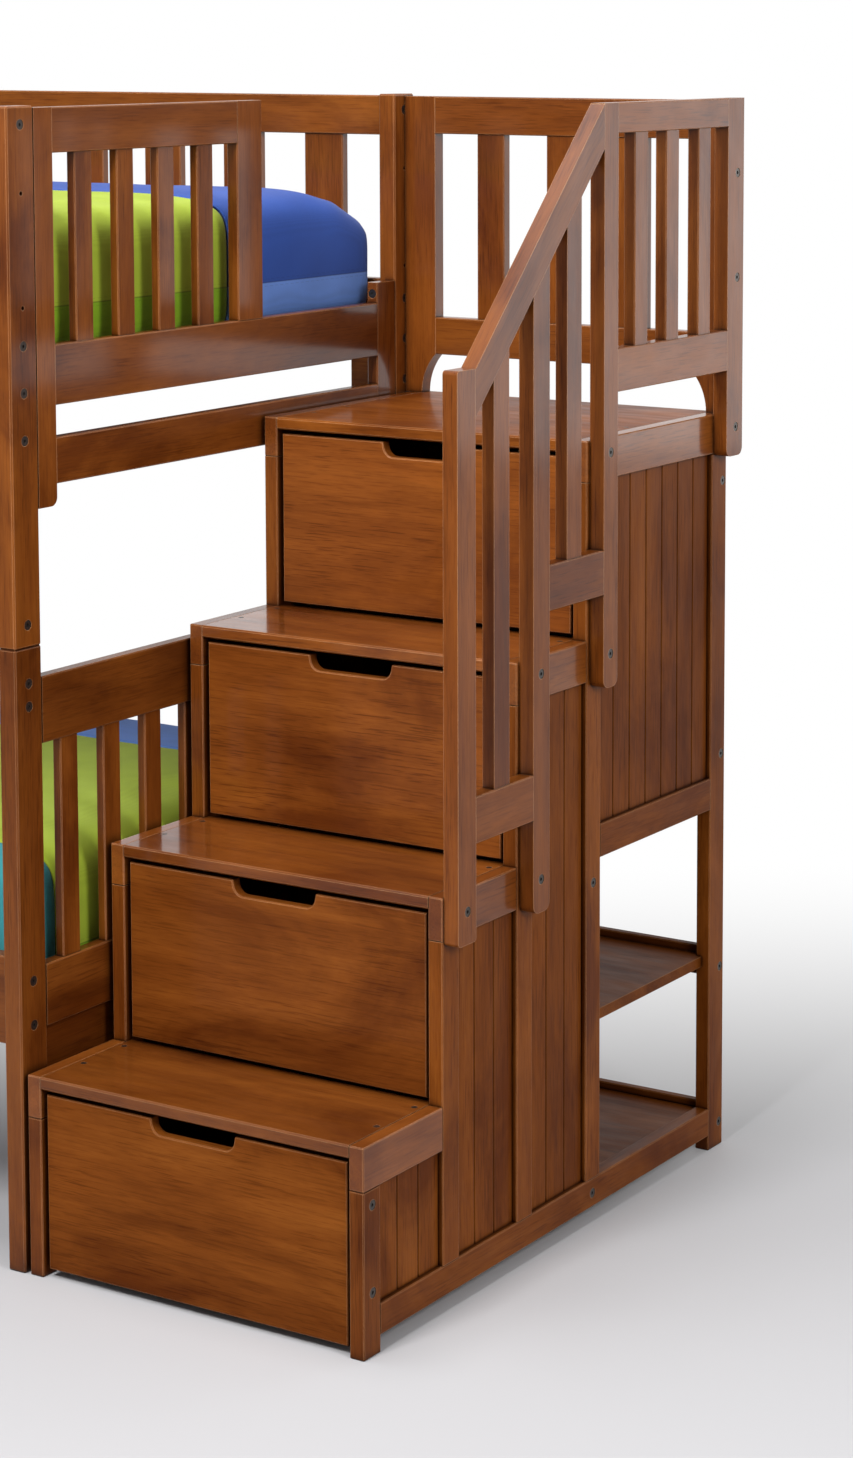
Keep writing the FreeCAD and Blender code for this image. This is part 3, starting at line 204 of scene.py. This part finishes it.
def stained_wood(name, grain, node, split, seed, tone=1.0, lean=0.0, gloss=0.5, edge=0.9):
    """Brown stained hardwood with its grain along one axis; each board along split differs.
    lean turns the grain of a sloping board about X, gloss is how thick the lacquer lies, edge is
    the strength of the painted highlight on the rounded edges, and tone sets the lightness, also as
    painted light and shade."""
    wood = bpy.data.materials.new(name)
    add, join = shader(wood)

    def steps(factor, *stops):
        ramp = add("ValToRGB")
        while len(ramp.color_ramp.elements) < len(stops):
            ramp.color_ramp.elements.new(0.5)
        for element, (position, colour) in zip(ramp.color_ramp.elements, stops):
            element.position = position
            element.color = colour if len(colour) == 4 else (*colour, 1)
        join(factor, ramp.inputs["Fac"])
        return ramp.outputs["Color"]

    where = add("TexCoord").outputs["Object"]
    # one random number a board, from the board's place along the split axis
    low_end, high_end, middles = board_gaps(node, split)
    middles = middles[:most_gaps]
    apart = add("SeparateXYZ")
    join(where, apart.inputs[0])
    spread = add("MapRange")
    spread.inputs["From Min"].default_value = low_end - end_margin
    spread.inputs["From Max"].default_value = high_end + end_margin
    join(apart.outputs[split], spread.inputs["Value"])
    boards = add("ValToRGB")
    boards.color_ramp.interpolation = "CONSTANT"
    length = high_end - low_end + 2 * end_margin
    marks = [0.0] + [(middle - low_end + end_margin) / length for middle in middles]
    while len(boards.color_ramp.elements) < max(2, len(marks)):
        boards.color_ramp.elements.new(0.99)
    for index, element in enumerate(boards.color_ramp.elements):
        grey = scattered(index + 1, seed)
        element.position = marks[index] if index < len(marks) else 1.0
        element.color = (grey, (grey * 7.31 + 0.17) % 1, (grey * 3.77 + 0.61) % 1, 1)
    join(spread.outputs["Result"], boards.inputs["Fac"])
    board = boards.outputs["Color"]

    moved = add("VectorMath", operation="MULTIPLY_ADD")
    moved.inputs[1].default_value = (3.1, 4.7, 2.3)
    join(board, moved.inputs[0])
    leaning = add("Mapping")
    leaning.inputs["Rotation"].default_value = (-lean, 0, 0)
    join(where, leaning.inputs["Vector"])
    join(leaning.outputs[0], moved.inputs[2])

    def along(stretch, tilt=0.0):
        turned = add("Mapping")
        scale = [1.0, 1.0, 1.0]
        scale[grain] = stretch
        turned.inputs["Scale"].default_value = scale
        turn_by = [0.0 if axis == grain else tilt for axis in range(3)]
        turned.inputs["Rotation"].default_value = turn_by
        turned.inputs["Location"].default_value = (seed * 1.37, seed * 0.71, seed * 2.03)
        join(moved.outputs[0], turned.inputs["Vector"])
        return turned.outputs[0]

    def cloud(vector, scale, detail, rough=0.55, twist=0.0):
        made = add("TexNoise")
        made.inputs["Scale"].default_value = scale
        made.inputs["Detail"].default_value = detail
        made.inputs["Roughness"].default_value = rough
        made.inputs["Distortion"].default_value = twist
        join(vector, made.inputs["Vector"])
        return made.outputs["Fac"]

    def mix(kind, factor, first, second):
        made = add("Mix", data_type="RGBA", blend_type=kind)
        if isinstance(factor, float):
            made.inputs["Factor"].default_value = factor
        else:
            join(factor, made.inputs["Factor"])
        join(first, made.inputs[6])
        join(second, made.inputs[7])
        return made.outputs[2]

    # flame of the sawn board: broad bands that wander along the grain
    bands = cloud(along(0.12, 0.03), 15, 7, 0.58, 0.4)
    base = steps(bands, (0.28, stain_dark), (0.50, stain_middle), (0.74, stain_light))
    # cloudy stain that took unevenly
    clouds = cloud(along(0.5), 5, 5, 0.6, 0.8)
    cloudy = steps(clouds, (0.36, (0.60, 0.50, 0.42)), (0.50, no_change),
                   (0.64, (1.24, 1.28, 1.30)))
    base = mix("MULTIPLY", 0.9, base, cloudy)
    # growth lines
    rings = add("TexWave", wave_type="BANDS", bands_direction="DIAGONAL", wave_profile="SAW")
    rings.inputs["Scale"].default_value = 21
    rings.inputs["Distortion"].default_value = 8
    rings.inputs["Detail"].default_value = 3
    rings.inputs["Detail Scale"].default_value = 0.9
    join(along(0.05, 0.02), rings.inputs["Vector"])
    lines = steps(rings.outputs["Fac"], (0.0, (0.80, 0.77, 0.74)), (0.55, no_change),
                  (1.0, (1.05, 1.05, 1.05)))
    base = mix("MULTIPLY", 0.30, base, lines)
    # fine fibres
    fibres = cloud(along(0.06), 300, 4, 0.7)
    threads = steps(fibres, (0.30, (0.74, 0.68, 0.62)), (0.52, no_change),
                    (0.72, (1.10, 1.12, 1.14)))
    base = mix("MULTIPLY", 0.6, base, threads)
    # pores: short thin dark dashes along the grain
    pores = cloud(along(0.035), 420, 2, 0.6)
    dashes = steps(pores, (0.0, (0.42, 0.36, 0.32)), (0.36, (0.62, 0.56, 0.52)), (0.46, no_change))
    patches = cloud(along(0.3), 9, 2)
    strong = steps(patches, (0.42, (0.45, 0.45, 0.45)), (0.66, no_change))
    base = mix("MULTIPLY", strong, base, dashes)
    # each board's own shade
    shades = steps(board, (0.0, (0.80, 0.77, 0.73)), (1.0, (1.16, 1.18, 1.20)))
    base = mix("MULTIPLY", 0.75, base, shades)
    # painted shade: the wood is painted darker in the corners where pieces meet, and darker still
    # in the joint itself
    shaded = []
    for reach, start, end in ((0.022, 0.30, 0.84), (0.005, 0.45, 0.90)):
        corners = add("AmbientOcclusion", samples=6)
        corners.inputs["Distance"].default_value = reach
        shaded.append(steps(corners.outputs["AO"], (start, (0.10, 0.07, 0.05)), (end, no_change)))
    painted_corner_shade = mix("MULTIPLY", 1.0, *shaded)
    base = mix("MULTIPLY", 0.9, base, painted_corner_shade)
    # painted highlight: the rounded edges are painted a paler, orange wood, except where the
    # painted corner shade lies
    rounded = add("Bevel", samples=4)
    rounded.inputs["Radius"].default_value = 0.0019
    flat = add("NewGeometry")
    turn = add("VectorMath", operation="DOT_PRODUCT")
    join(rounded.outputs[0], turn.inputs[0])
    join(flat.outputs["Normal"], turn.inputs[1])
    edge_highlight_mask = steps(turn.outputs["Value"], (0.86, (edge, edge, edge)), (0.975, (0.0, 0.0, 0.0)))
    painted_edge_highlight = mix("MULTIPLY", 1.0, edge_highlight_mask, painted_corner_shade)
    pale = add("RGB")
    pale.outputs[0].default_value = (0.58 * tone, 0.30 * tone, 0.14 * tone, 1)
    base = mix("MIX", painted_edge_highlight, base, pale.outputs[0])

    level = add("HueSaturation")
    level.inputs["Value"].default_value = tone
    join(base, level.inputs["Color"])

    lacquer = add("BsdfPrincipled")
    lacquer.inputs["Coat Weight"].default_value = gloss
    lacquer.inputs["Coat Roughness"].default_value = 0.12
    lacquer.inputs["Coat IOR"].default_value = 1.32
    lacquer.inputs["Specular IOR Level"].default_value = 0.04 + 0.12 * gloss
    join(level.outputs[0], lacquer.inputs["Base Color"])
    rough = add("MapRange")
    rough.inputs["From Min"].default_value = 0.3
    rough.inputs["From Max"].default_value = 0.7
    rough.inputs["To Min"].default_value = 0.52
    rough.inputs["To Max"].default_value = 0.38
    join(cloud(along(0.25), 40, 2), rough.inputs["Value"])
    join(rough.outputs["Result"], lacquer.inputs["Roughness"])
    ripple = add("Bump")
    ripple.inputs["Strength"].default_value = 0.10
    ripple.inputs["Distance"].default_value = 0.0006
    join(pores, ripple.inputs["Height"])
    join(rounded.outputs[0], ripple.inputs["Normal"])
    join(ripple.outputs[0], lacquer.inputs["Normal"])
    join(lacquer.outputs[0], add("OutputMaterial").inputs["Surface"])
    return wood


def finish_node(node, material):
    """Puts one material on the whole of a node."""
    mesh = nodes[node].data
    mesh.materials.clear()
    mesh.materials.append(material)


def stain(node, grain, split, seed, **look):
    """Finishes a node in a stained wood of its own."""
    finish_node(node, stained_wood(f"wood_{node}", grain, node, split, seed, **look))


seed = 1
for height in ("lower", "upper"):
    for side in ("front", "back"):
        for end in ("right", "left"):
            name = f"{height}_post_{side}_{end}"
            # painted light and shade: the lower posts are painted darker and the upper posts
            # lighter
            stain(name, 2, 1, seed, tone=0.86 if height == "lower" else 1.02)
            seed += 1

# ---------------------------------------------------------------------------------------
# Side rails, guard rails and guard slats: long boards of the same stained hardwood, the rails
# bolted to the posts and the upright slats let into them.
# ---------------------------------------------------------------------------------------
for name, grain, split in (("lower_side_rails", 0, 1), ("upper_side_rails", 0, 1),
                           ("guard_rails", 0, 1), ("guard_slats", 2, 0)):
    stain(name, grain, split, seed)
    seed += 1

# ---------------------------------------------------------------------------------------
# Bed ends: cross rails with upright slats tenoned between them. The right-hand upper end stops
# short at the back, where the stair landing leads into the bed.
# ---------------------------------------------------------------------------------------
for name, grain, split in (("lower_end_rails_right", 1, 2), ("lower_end_rails_left", 1, 2),
                           ("upper_end_rails_right", 1, 2), ("upper_end_rails_left", 1, 2),
                           ("lower_end_slats_right", 2, 1), ("lower_end_slats_left", 2, 1),
                           ("upper_end_slats_right", 2, 1), ("upper_end_slats_left", 2, 1),
                           ("upper_end_stiles_right", 2, 1)):
    # painted shade: the lower end rails are painted darker, as if in the shade of the upper bunk
    tone = 0.82 if name.startswith("lower_end_rails") else 1.0
    stain(name, grain, split, seed, tone=tone)
    seed += 1

# ---------------------------------------------------------------------------------------
# Bed bases: cleats screwed to the side rails carry the loose cross slats that hold the mattress.
# ---------------------------------------------------------------------------------------
for name, grain, split in (("slat_cleats", 0, 1), ("lower_bed_slats", 1, 0),
                           ("upper_bed_slats", 1, 0)):
    stain(name, grain, split, seed)
    seed += 1

# ---------------------------------------------------------------------------------------
# Stair sides: frames of upright stiles and cross rails, with grooved planks in between and a
# short side board at each end of every tread.
# ---------------------------------------------------------------------------------------
# painted shade: most stair side parts are painted a little darker, against the light the floor
# throws up on them; edge is the strength of their painted edge highlight
for name, grain, split, tone, gloss, edge in (("stair_left_stiles", 2, 1, 1.0, 0.3, 0.9),
                                              ("stair_right_stiles", 2, 1, 0.95, 0.12, 0.9),
                                              ("stair_side_rails", 1, 2, 0.9, 0.1, 0.9),
                                              ("tread_side_boards", 1, 1, 0.98, 0.8, 0.9),
                                              ("stair_side_panels", 2, 1, 0.94, 0.05, 0.25)):
    stain(name, grain, split, seed, tone=tone, gloss=gloss, edge=edge)
    seed += 1

# ---------------------------------------------------------------------------------------
# Treads: four wide glued boards with a rounded front edge, lacquered more glossily than the rest.
# ---------------------------------------------------------------------------------------
# painted light: the upper treads are painted lighter than the lower ones, as if the light falls
# from above
for step, tone, gloss in ((1, 0.85, 0.7), (2, 1.0, 0.8), (3, 1.12, 1.0), (4, 1.1, 0.15)):
    stain(f"tread_{step}", 0, 2, seed, tone=tone, gloss=gloss)
    seed += 1

# ---------------------------------------------------------------------------------------
# Drawers: a solid front with a finger notch in its top edge, on a plain box that slides on
# wooden runners.
# ---------------------------------------------------------------------------------------
# painted light: the higher a drawer front, the lighter it is painted, as if the light falls from
# above
for step, tone, gloss in ((1, 0.97, 0.0), (2, 1.03, 0.15), (3, 1.15, 0.35), (4, 1.2, 0.35)):
    stain(f"drawer_{step}_front", 0, 2, seed, tone=tone, gloss=gloss)
    stain(f"drawer_{step}_box", 1, 0, seed + 50, tone=0.9)
    seed += 1
stain("drawer_runners", 1, 2, seed, tone=0.9)
seed += 1

# ---------------------------------------------------------------------------------------
# Bookcase in the back of the stairs: two open shelves with lips, and the panel behind the top
# drawer.
# ---------------------------------------------------------------------------------------
stain("bookcase", 0, 2, seed, tone=0.8, gloss=0.05)
stain("stair_back_panel", 2, 0, seed + 1)
seed += 2

# ---------------------------------------------------------------------------------------
# Handrail: four posts bolted to the stair side, a sloping top rail between them, cross rails
# and upright slats.
# ---------------------------------------------------------------------------------------
handrail_rise, handrail_run = 0.385, 0.376
slope = math.atan2(handrail_rise, handrail_run)
for name, grain, split, lean in (("handrail_posts", 2, 1, 0), ("sloping_handrail", 1, 0, slope),
                                 ("handrail_slats", 2, 1, 0), ("handrail_cross_rails", 1, 1, 0)):
    stain(name, grain, split, seed, lean=lean)
    seed += 1

# ---------------------------------------------------------------------------------------
# Back guard: the railing that closes the landing at the back, with an arched cut in the foot of
# its two outer stiles.
# ---------------------------------------------------------------------------------------
for name, grain, split in (("back_guard_stiles", 2, 0), ("back_guard_rails", 0, 2)):
    stain(name, grain, split, seed)
    seed += 1

# ---------------------------------------------------------------------------------------
# Bolts and pins: blackened steel socket-head bolts sunk in the wood, and plain steel pins
# between the stacked posts.
# ---------------------------------------------------------------------------------------
blackened = bpy.data.materials.new("blackened_steel")
add, join = shader(blackened)
steel = add("BsdfPrincipled")
steel.inputs["Metallic"].default_value = 0.9
speckle = add("TexNoise")
speckle.inputs["Scale"].default_value = 900
join(add("TexCoord").outputs["Object"], speckle.inputs["Vector"])
ramp = add("ValToRGB")
ramp.color_ramp.elements[0].color = (0.020, 0.017, 0.015, 1)
ramp.color_ramp.elements[1].color = (0.13, 0.115, 0.105, 1)
join(speckle.outputs["Fac"], ramp.inputs["Fac"])
join(ramp.outputs["Color"], steel.inputs["Base Color"])
rough = add("MapRange")
rough.inputs["To Min"].default_value = 0.3
rough.inputs["To Max"].default_value = 0.5
join(speckle.outputs["Fac"], rough.inputs["Value"])
join(rough.outputs["Result"], steel.inputs["Roughness"])
join(steel.outputs[0], add("OutputMaterial").inputs["Surface"])
finish_node("bolts_and_screws", blackened)
finish_node("stacking_pins", blackened)

# ---------------------------------------------------------------------------------------
# Bedding shape: both bunks are made up alike, a foam mattress in a fitted coverlet.  The outside
# of the coverlet is blown up a little from a rounded block, then its back corner is let sag.
# ---------------------------------------------------------------------------------------
cover_stand_off = 0.0103
cloth_cell = 0.018
swell = 0.012
corner_round, rim_round = 0.034, 0.045
blown_frames = 20
fold_height, fold_width = 0.007, 0.02
ripple_height = 0.0025


def smooth_step(start, end, value):
    share = min(max((value - start) / (end - start), 0.0), 1.0)
    return share * share * (3 - 2 * share)


def closed_copy(obj):
    """The mesh of an object with its modifiers applied."""
    view = bpy.context.evaluated_depsgraph_get()
    return bpy.data.meshes.new_from_object(obj.evaluated_get(view))


def made_bed(low, high):
    """Blown-up rounded block whose outside is the coverlet's; the same for both bunks."""
    shape = bmesh.new()
    bmesh.ops.create_cube(shape, size=1)
    size = [high[axis] - low[axis] + 2 * cover_stand_off for axis in range(3)]
    middle = [(high[axis] + low[axis]) / 2 for axis in range(3)]
    bmesh.ops.scale(shape, vec=size, verts=shape.verts)
    bmesh.ops.translate(shape, vec=middle, verts=shape.verts)
    upright = [edge for edge in shape.edges if abs(edge.verts[0].co.z - edge.verts[1].co.z) > 0.1]
    bmesh.ops.bevel(shape, geom=upright, offset=corner_round, offset_type="OFFSET", segments=5,
                    profile=0.5, affect="EDGES", material=-1)
    rims = [edge for edge in shape.edges if abs(edge.verts[0].co.z - edge.verts[1].co.z) < 0.01]
    bmesh.ops.bevel(shape, geom=rims, offset=rim_round, offset_type="OFFSET", segments=6,
                    profile=0.5, affect="EDGES", material=-1)
    mesh = bpy.data.meshes.new("bed_shape")
    shape.to_mesh(mesh)
    shape.free()
    form = bpy.data.objects.new("bed_shape", mesh)
    scene.collection.objects.link(form)
    grid = form.modifiers.new("even", "REMESH")
    grid.mode = "VOXEL"
    grid.voxel_size = cloth_cell
    even = closed_copy(form)
    form.modifiers.clear()
    form.data = even
    start = np.zeros(len(even.vertices) * 3)
    even.vertices.foreach_get("co", start)
    start = start.reshape(-1, 3)
    moved = start
    cloth = form.modifiers.new("blown", "CLOTH")
    cloth.settings.use_pressure = True
    cloth.settings.uniform_pressure_force = 4
    cloth.settings.effector_weights.gravity = 0
    cloth.settings.quality = 5
    cloth.collision_settings.use_collision = False
    for step in range(1, blown_frames + 1):
        scene.frame_set(step)
    blown = closed_copy(form)
    form.modifiers.clear()
    scene.frame_set(1)
    moved = np.zeros(len(even.vertices) * 3)
    blown.vertices.foreach_get("co", moved)
    moved = moved.reshape(-1, 3)
    bpy.data.meshes.remove(blown)
    step = moved - start
    far = np.linalg.norm(step, axis=1, keepdims=True)
    step = step * np.minimum(1, swell / np.maximum(far, 1e-9))
    even.vertices.foreach_set("co", (start + step).ravel())
    bpy.data.objects.remove(form)
    shape = bmesh.new()
    shape.from_mesh(even)
    bpy.data.meshes.remove(even)
    for _ in range(3):
        bmesh.ops.smooth_vert(shape, verts=shape.verts, factor=0.5, use_axis_x=True,
                              use_axis_y=True, use_axis_z=True)
    # the sides stay where the rails hold them, so only the top crowns
    for vert in shape.verts:
        for axis in (0, 1):
            inner, outer = low[axis] - cover_stand_off, high[axis] + cover_stand_off
            vert.co[axis] = min(max(vert.co[axis], inner), outer)
        vert.co.z = max(vert.co.z, low[2] - cover_stand_off)
    return shape


def sag(shape, droop):
    """The back corner of the right-hand end droops, with one soft fold, and the cloth ripples a
    little."""
    for vert in shape.verts:
        place = vert.co
        upper = smooth_step(0.45, 0.60, place.z)
        right = smooth_step(0.10, 0.60, place.x)
        place.z -= droop * upper * right * smooth_step(0.33, 0.50, place.y)
        fold = (place.x - 0.56) + (place.y - 0.44)
        crest = math.exp(-(fold / fold_width) ** 2) * smooth_step(0.30, 0.44, place.y)
        place.z += fold_height * upper * crest
        ripple = noise.noise(place * 4.2) * 0.6 + noise.noise(place * 11.0) * 0.25
        place += vert.normal * (ripple_height * ripple)
    shape.normal_update()


foam_low, foam_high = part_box("lower_mattress")
bunk_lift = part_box("upper_mattress")[0][2] - foam_low[2]
plain_bed = made_bed(foam_low, foam_high)
plain_bed.normal_update()
beds = {}
for bunk, droop in (("lower", 0.004), ("upper", 0.040)):
    beds[bunk] = plain_bed.copy()
    beds[bunk].normal_update()
    sag(beds[bunk], droop)
plain_bed.free()

seam_half_width = 0.0012
stitch_distance, stitch_half_width = 0.006, 0.0006


def woven_cloth(name, colour, band=None, band_height=0.0, seam=None):
    """Plain woven cotton; below band_height it is another colour, and it is stitched by its
    joints."""
    cloth = bpy.data.materials.new(name)
    add, join = shader(cloth)

    def sums(operation, first, second=None):
        made = add("Math", operation=operation)
        for socket, value in zip(made.inputs, (first, second)):
            if value is None:
                continue
            if isinstance(value, (int, float)):
                socket.default_value = value
            else:
                join(value, socket)
        return made.outputs[0]

    def blend(kind, factor, first, second):
        made = add("Mix", data_type="RGBA", blend_type=kind)
        for socket, value in ((made.inputs["Factor"], factor), (made.inputs[6], first),
                              (made.inputs[7], second)):
            if isinstance(value, (float, tuple)):
                socket.default_value = value
            else:
                join(value, socket)
        return made.outputs[2]

    where = add("TexCoord").outputs["Object"]
    apart = add("SeparateXYZ")
    join(where, apart.inputs[0])
    across, along, up = apart.outputs
    mottle = add("TexNoise")
    mottle.inputs["Scale"].default_value = 9
    mottle.inputs["Detail"].default_value = 4
    join(where, mottle.inputs["Vector"])
    shade = add("ValToRGB")
    shade.color_ramp.elements[0].position = 0.3
    shade.color_ramp.elements[0].color = (0.90, 0.90, 0.91, 1)
    shade.color_ramp.elements[1].position = 0.7
    shade.color_ramp.elements[1].color = (1.05, 1.05, 1.04, 1)
    join(mottle.outputs["Fac"], shade.inputs["Fac"])
    dyed = colour
    if band:
        below = sums("LESS_THAN", up, band_height)
        dyed = blend("MIX", below, colour, band)
    tinted = blend("MULTIPLY", 1.0, dyed, shade.outputs["Color"])
    # threads of the weave: two sets of fine ridges that cross
    ridges = []
    for direction in ("X", "Y", "Z"):
        threads = add("TexWave", wave_type="BANDS", bands_direction=direction, wave_profile="SIN")
        threads.inputs["Scale"].default_value = 310
        threads.inputs["Distortion"].default_value = 0.6
        threads.inputs["Detail"].default_value = 1
        join(where, threads.inputs["Vector"])
        ridges.append(threads.outputs["Fac"])
    weave = sums("MULTIPLY", sums("ADD", ridges[0], ridges[1]), sums("ADD", ridges[2], 1.0))
    weave = sums("MULTIPLY", weave, 0.25)
    grain = add("ValToRGB")
    grain.color_ramp.elements[0].color = (0.86, 0.86, 0.86, 1)
    grain.color_ramp.elements[1].color = (1.04, 1.04, 1.04, 1)
    join(weave, grain.inputs["Fac"])
    tinted = blend("MULTIPLY", 1.0, tinted, grain.outputs["Color"])
    height = weave
    lines = []
    if band:
        lines.append(sums("ABSOLUTE", sums("SUBTRACT", up, band_height)))
    if seam is not None:
        slope, offset = seam
        level = sums("SUBTRACT", along, sums("MULTIPLY", across, slope))
        lines.append(sums("ABSOLUTE", sums("SUBTRACT", level, offset)))
    if lines:
        near = lines[0] if len(lines) == 1 else sums("MINIMUM", lines[0], lines[1])
        # a sunk line at the joint, painted darker as painted shade in the seam, and a row of
        # stitches a few millimetres from it
        sunk = sums("LESS_THAN", near, seam_half_width)
        tinted = blend("MULTIPLY", sunk, tinted, (0.62, 0.62, 0.64, 1))
        beside = sums("ABSOLUTE", sums("SUBTRACT", near, stitch_distance))
        row = sums("LESS_THAN", beside, stitch_half_width)
        dashes = add("TexWave", wave_type="BANDS", bands_direction="DIAGONAL", wave_profile="SIN")
        dashes.inputs["Scale"].default_value = 42
        join(where, dashes.inputs["Vector"])
        stitched = sums("MULTIPLY", row, sums("GREATER_THAN", dashes.outputs["Fac"], 0.35))
        tinted = blend("MULTIPLY", sums("MULTIPLY", stitched, 0.35), tinted, (0.5, 0.5, 0.5, 1))
        height = sums("SUBTRACT", weave, sums("MULTIPLY", sums("MAXIMUM", sunk, stitched), 1.5))
    cotton = add("BsdfPrincipled")
    cotton.inputs["Roughness"].default_value = 0.85
    cotton.inputs["Specular IOR Level"].default_value = 0.2
    cotton.inputs["Sheen Weight"].default_value = 0.12
    cotton.inputs["Sheen Roughness"].default_value = 0.5
    join(tinted, cotton.inputs["Base Color"])
    bump = add("Bump")
    bump.inputs["Strength"].default_value = 0.25
    bump.inputs["Distance"].default_value = 0.0004
    join(height, bump.inputs["Height"])
    join(bump.outputs[0], cotton.inputs["Normal"])
    join(cotton.outputs[0], add("OutputMaterial").inputs["Surface"])
    return cloth


def made_piece(name, shape, lift, material):
    """Writes a shape out as a smooth object, lifted to its bunk."""
    bmesh.ops.translate(shape, vec=(0, 0, lift), verts=shape.verts)
    mesh = bpy.data.meshes.new(name)
    shape.to_mesh(mesh)
    shape.free()
    mesh.shade_smooth()
    mesh.materials.append(material)
    piece = bpy.data.objects.new(name, mesh)
    scene.collection.objects.link(piece)
    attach(piece, "bed_and_stairs")
    return piece


ticking = woven_cloth("mattress_ticking", (0.075, 0.13, 0.36, 1))
for bunk, lift in (("lower", 0.0), ("upper", bunk_lift)):
    foam = beds[bunk].copy()
    foam.normal_update()
    for vert in foam.verts:
        vert.co -= vert.normal * cover_stand_off
        vert.co.z = max(vert.co.z, foam_low[2])
        vert.co.x = min(vert.co.x, foam_high[0])
    mattress = made_piece(f"{bunk}_foam_mattress", foam, lift, ticking)
    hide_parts(f"{bunk}_mattress")

# ---------------------------------------------------------------------------------------
# Coverlets: three lengths of padded cotton sewn side by side, teal in front, then green, then
# blue.  They lie over the mattress and hang down its sides and its right-hand end.
# ---------------------------------------------------------------------------------------
teal = (0.045, 0.30, 0.33, 1)
light_teal = (0.10, 0.46, 0.50, 1)
lime = (0.44, 0.57, 0.040, 1)
grass = (0.26, 0.47, 0.015, 1)
royal = (0.032, 0.098, 0.44, 1)
cornflower = (0.18, 0.36, 0.92, 1)
cover_thick = 0.008
seam_dip = 0.002
cover_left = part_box("lower_cover_green")[0][0]
cover_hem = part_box("lower_cover_green")[0][2]


def joint_plane(right_y, left_y):
    """An upright cut along the bed, from right_y at the right-hand end to left_y at the left."""
    slope = (right_y - left_y) / (foam_high[0] - cover_left)
    return slope, right_y - slope * foam_high[0]


def coverlet_band(name, node, bunk, lift, near, far, material):
    """One length of the coverlet, cut from the bed's shape between two joints."""
    band = beds[bunk].copy()
    cuts = [((cover_left, 0, 0), (-1, 0, 0)), ((0, 0, cover_hem), (0, 0, -1))]
    if near:
        cuts.append(((0, near[1], 0), (near[0], -1, 0)))
    if far:
        cuts.append(((0, far[1], 0), (-far[0], 1, 0)))
    for place, outward in cuts:
        bmesh.ops.bisect_plane(band, geom=band.verts[:] + band.edges[:] + band.faces[:], dist=1e-5,
                               plane_co=place, plane_no=outward, clear_outer=True)
    band.normal_update()
    for vert in band.verts:
        if not vert.is_boundary:
            continue
        for joint in (near, far):
            if joint and abs(vert.co.y - joint[0] * vert.co.x - joint[1]) < 1e-4:
                vert.co -= vert.normal * seam_dip
    piece = made_piece(name, band, lift, material)
    thick = piece.modifiers.new("thickness", "SOLIDIFY")
    thick.thickness = cover_thick
    thick.offset = -1
    round_off = piece.modifiers.new("round", "SUBSURF")
    round_off.levels = round_off.render_levels = 1
    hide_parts(node)
    return piece


teal_y, cover_front_y, cover_back_y = -0.410, -0.507, 0.503
teal_joint = joint_plane(teal_y, teal_y)
cut_length, side_drop = 2.05, 0.19
for bunk, lift, blue_joint, band_height in (
        ("lower", 0.0, joint_plane(0.262, 0.225), 0.47),
        ("upper", bunk_lift, joint_plane(0.060, 0.150), 1.497)):
    blue_y = blue_joint[1] + blue_joint[0] * foam_high[0]
    for label, near, far, colour, band_colour, width, corner in (
            ("teal", None, teal_joint, teal, light_teal, teal_y - cover_front_y + side_drop, 1),
            ("green", teal_joint, blue_joint, lime, grass, blue_y - teal_y, 0),
            ("blue", blue_joint, None, royal, cornflower, cover_back_y - blue_y + side_drop, 1)):
        joint = far if label != "blue" else near
        if (bunk, label) == ("lower", "blue"):
            colour, band_colour = cornflower, royal
        cotton = woven_cloth(f"{bunk}_{label}_cotton", colour, band_colour, band_height, joint)
        coverlet_band(f"{bunk}_coverlet_{label}", f"{bunk}_cover_{label}", bunk, lift, near, far,
                      cotton)
for bed in beds.values():
    bed.free()
